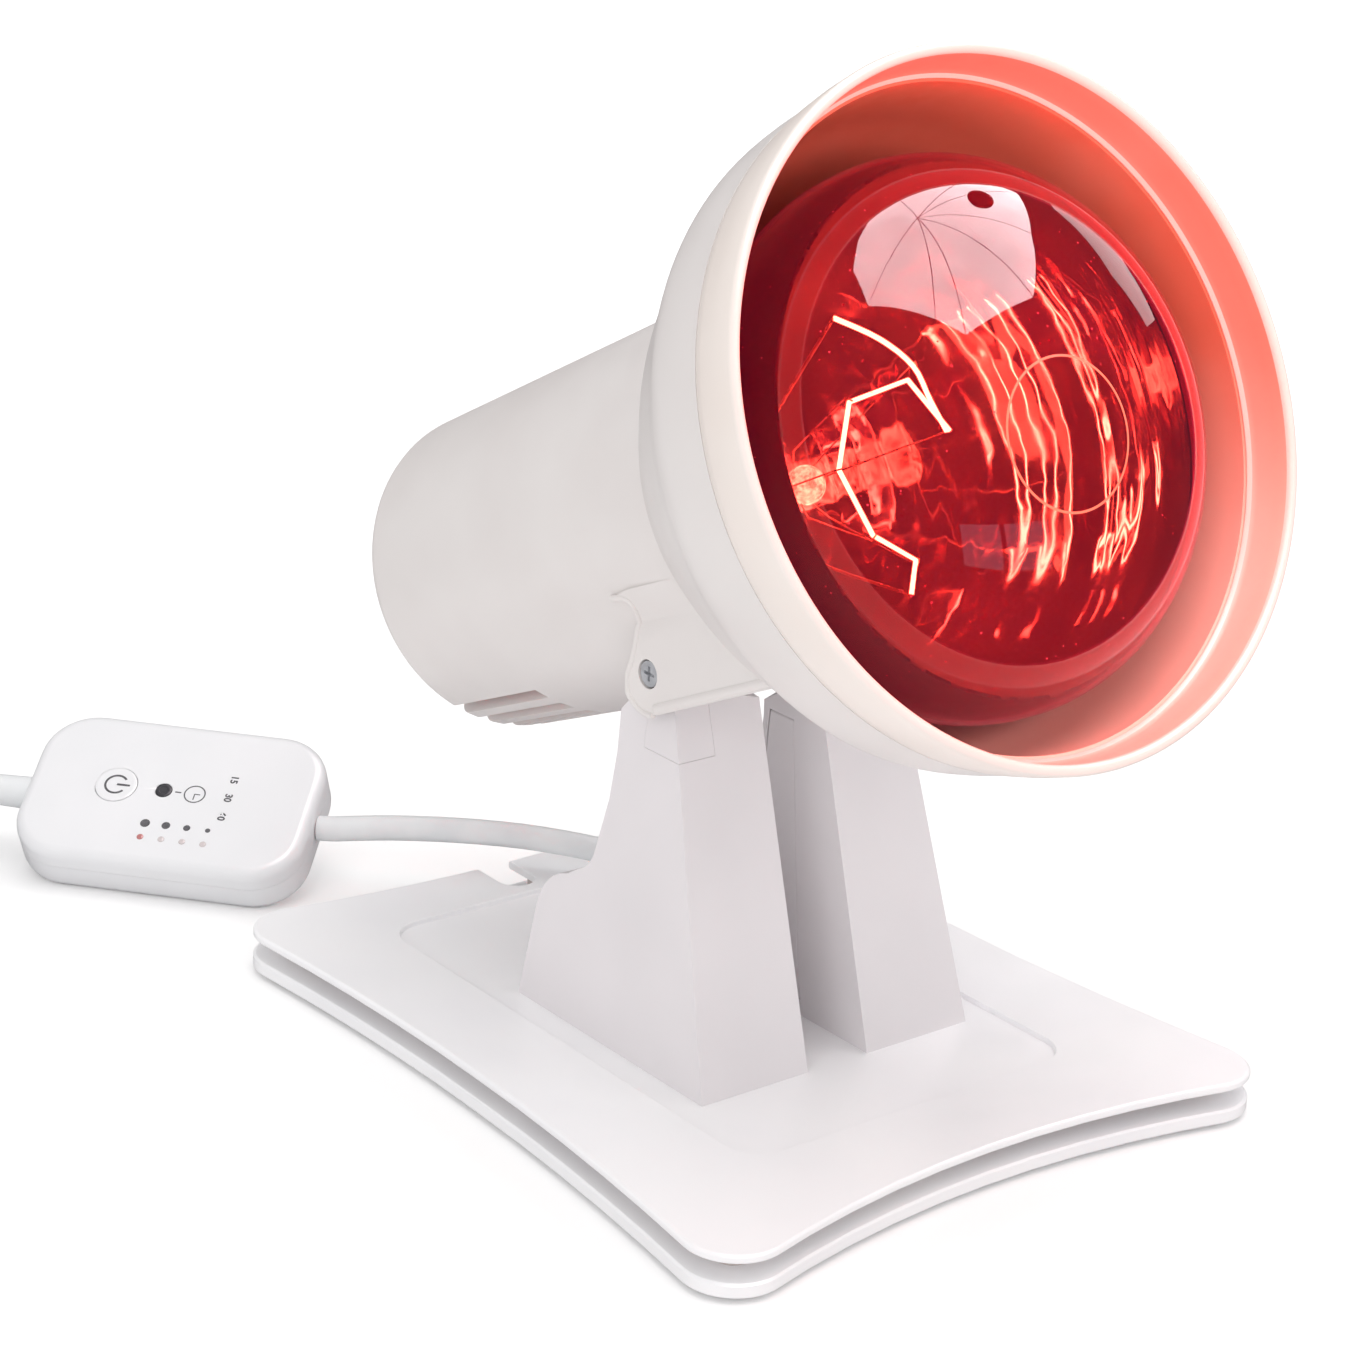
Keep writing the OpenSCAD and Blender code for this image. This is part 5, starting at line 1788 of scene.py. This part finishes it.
    def panel(
        self,
        name: str,
        at: Point3,
        faces: Sequence[Sequence[Point2]],
        colour: str,
        strength: float,
        forward: float = 0.0,
    ) -> None:
        """A glowing panel that is only seen as a reflection.

        Args:
            name: Its name.
            at: Its middle, in millimetres.
            faces: Outlines in its own plane, sideways and up.
            colour: Its colour.
            strength: How bright it is.
            forward: How far it is moved towards the bulb.
        """
        aim = Vector(self.dome_at)
        away = (Vector(at) - aim).normalized()
        side = away.cross(Vector((0, 0, 1))).normalized()
        upward = side.cross(away)
        bm = bmesh.new()
        for outline in faces:
            bm.faces.new([bm.verts.new((Vector(at) - away * forward + side * x + upward * y) * MM) for x, y in outline])
        material, tree, _, output = blank_material(name)
        depth = add_node(tree, "ShaderNodeLightPath").outputs["Transmission Depth"]
        beyond = {"Value": depth, "From Max": 1.0, "To Min": strength, "To Max": strength * 0.05}
        dimmed = add_node(tree, "ShaderNodeMapRange", beyond).outputs[0]
        cloth = {0: drift(tree, 260.0, 0.8, 1.0), 1: dimmed}
        power = add_node(tree, "ShaderNodeMath", cloth, operation="MULTIPLY").outputs[0]
        glow = add_node(tree, "ShaderNodeEmission", {"Color": linear(colour), "Strength": power})
        feed(tree, output, {0: glow.outputs[0]})
        piece = to_object(bm, name, [material])
        piece.visible_camera = piece.visible_diffuse = piece.visible_shadow = False

    def area(self, name: str, at: Point3, aim: Point3, size: Point2, power: float) -> None:
        """Adds a soft area lamp.

        Args:
            name: Its name.
            at: Where it is, in metres.
            aim: What it points at.
            size: Its width and height.
            power: Its power in watts.
        """
        way = (Vector(aim) - Vector(at)).normalized()
        place = Matrix.Translation(at) @ way.to_track_quat("-Z", "Y").to_matrix().to_4x4()
        add_lamp(name, "AREA", place, power, "ffffff", shape="RECTANGLE", size=size[0], size_y=size[1])

    def lamps(self) -> None:
        """The studio lamps, and what the dome mirrors of the room."""
        self.area("overhead", (0.1, -0.1, 1.5), (0, 0, 0.1), (1.6, 1.6), 9.2)
        self.area("front_left", (-1.3, -0.8, 0.7), (-0.03, 0.05, 0.05), (1.0, 1.0), 5.2)
        self.area("front_right", (1.2, -1.1, 0.8), (0, 0, 0.12), (0.9, 0.9), 3)
        self.umbrella((265, -271, 1041))
        strip = [(-309, -29), (-44, 131), (211, 42), (275, -100), (149, -170), (23, -114), (-178, -96), (-410, -239)]
        self.panel("strip_box", (843, 133, 516), [strip], "fff2f2", 2.6)
        window = [[(-260, -150), (-20, -150), (-20, 112), (-260, 112)], [(6, -150), (240, -150), (240, 112), (6, 112)]]
        self.panel("window_panes", (166, -980, 114), window, "8f97ad", 2.6)

    def umbrella(self, at: Point3) -> None:
        """The photographer's umbrella with its ribs and its flash head.

        Args:
            at: Its middle, in millimetres.
        """
        hub, rib_r = Vector((-244, 169)), 2.2
        cloth = [
            (-606, 352), (-861, -53), (-866, -286), (-388, -353), (-15, -472),
            (372, -260), (375, -68), (390, 424), (96, 583), (-170, 553),
        ]
        self.panel("umbrella", at, [cloth], "fff0f3", 12.0)
        ribs = []
        for tip in (Vector(corner) for corner in cloth[:8]):
            along = (tip - hub).normalized()
            across = Vector((-along.y, along.x)) * rib_r
            ribs.append([hub + across, tip + across, tip - across, hub - across])
        self.panel("umbrella_ribs", at, ribs, "a85c70", 3.0, 4)
        turn = [2 * math.pi * k / 20 for k in range(20)]
        flash = [(-530 + 120 * math.cos(a), -110 + 60 * math.sin(a)) for a in turn]
        self.panel("flash_head", at, [flash], "5a0a1c", 1.0, 8)


@dataclass
class BulbGlow:
    """The red light that the lit bulb throws on the bell: lamps that ride with the head."""

    def build(self) -> None:
        """Adds the lamps."""
        inside = HEAD.matrix(BULB_DROP) @ Matrix.Translation((0, 0, 0.088))
        mouth = HEAD.matrix() @ Matrix.Translation((0, 0, 0.12))
        lamps = (
            add_lamp("inside_glow", "POINT", inside, 0.25, "ff8a5a", shadow_soft_size=0.02),
            add_lamp("bell_glow", "AREA", mouth, 0.12, "ff4a30", shape="DISK", size=0.14),
        )
        for lamp in lamps:
            lamp.visible_camera = False
            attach(lamp, Body.HEAD.value)


def main() -> None:
    """Builds the lamp round its frame."""
    logging.basicConfig(level=logging.INFO, format="%(name)s: %(message)s")
    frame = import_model()
    finishes = Finishes()
    Studio().build()
    Controller(finishes).build()
    Cords(finishes, frame).build()
    Stand(finishes, frame).build()
    shell = HeadShell(finishes)
    shell.build()
    BellFittings(finishes, shell).build()
    ReflectorBulb(finishes).build()
    BulbGlow().build()
    CarriedNodes(finishes, frame).build()


if __name__ == "__main__":
    main()
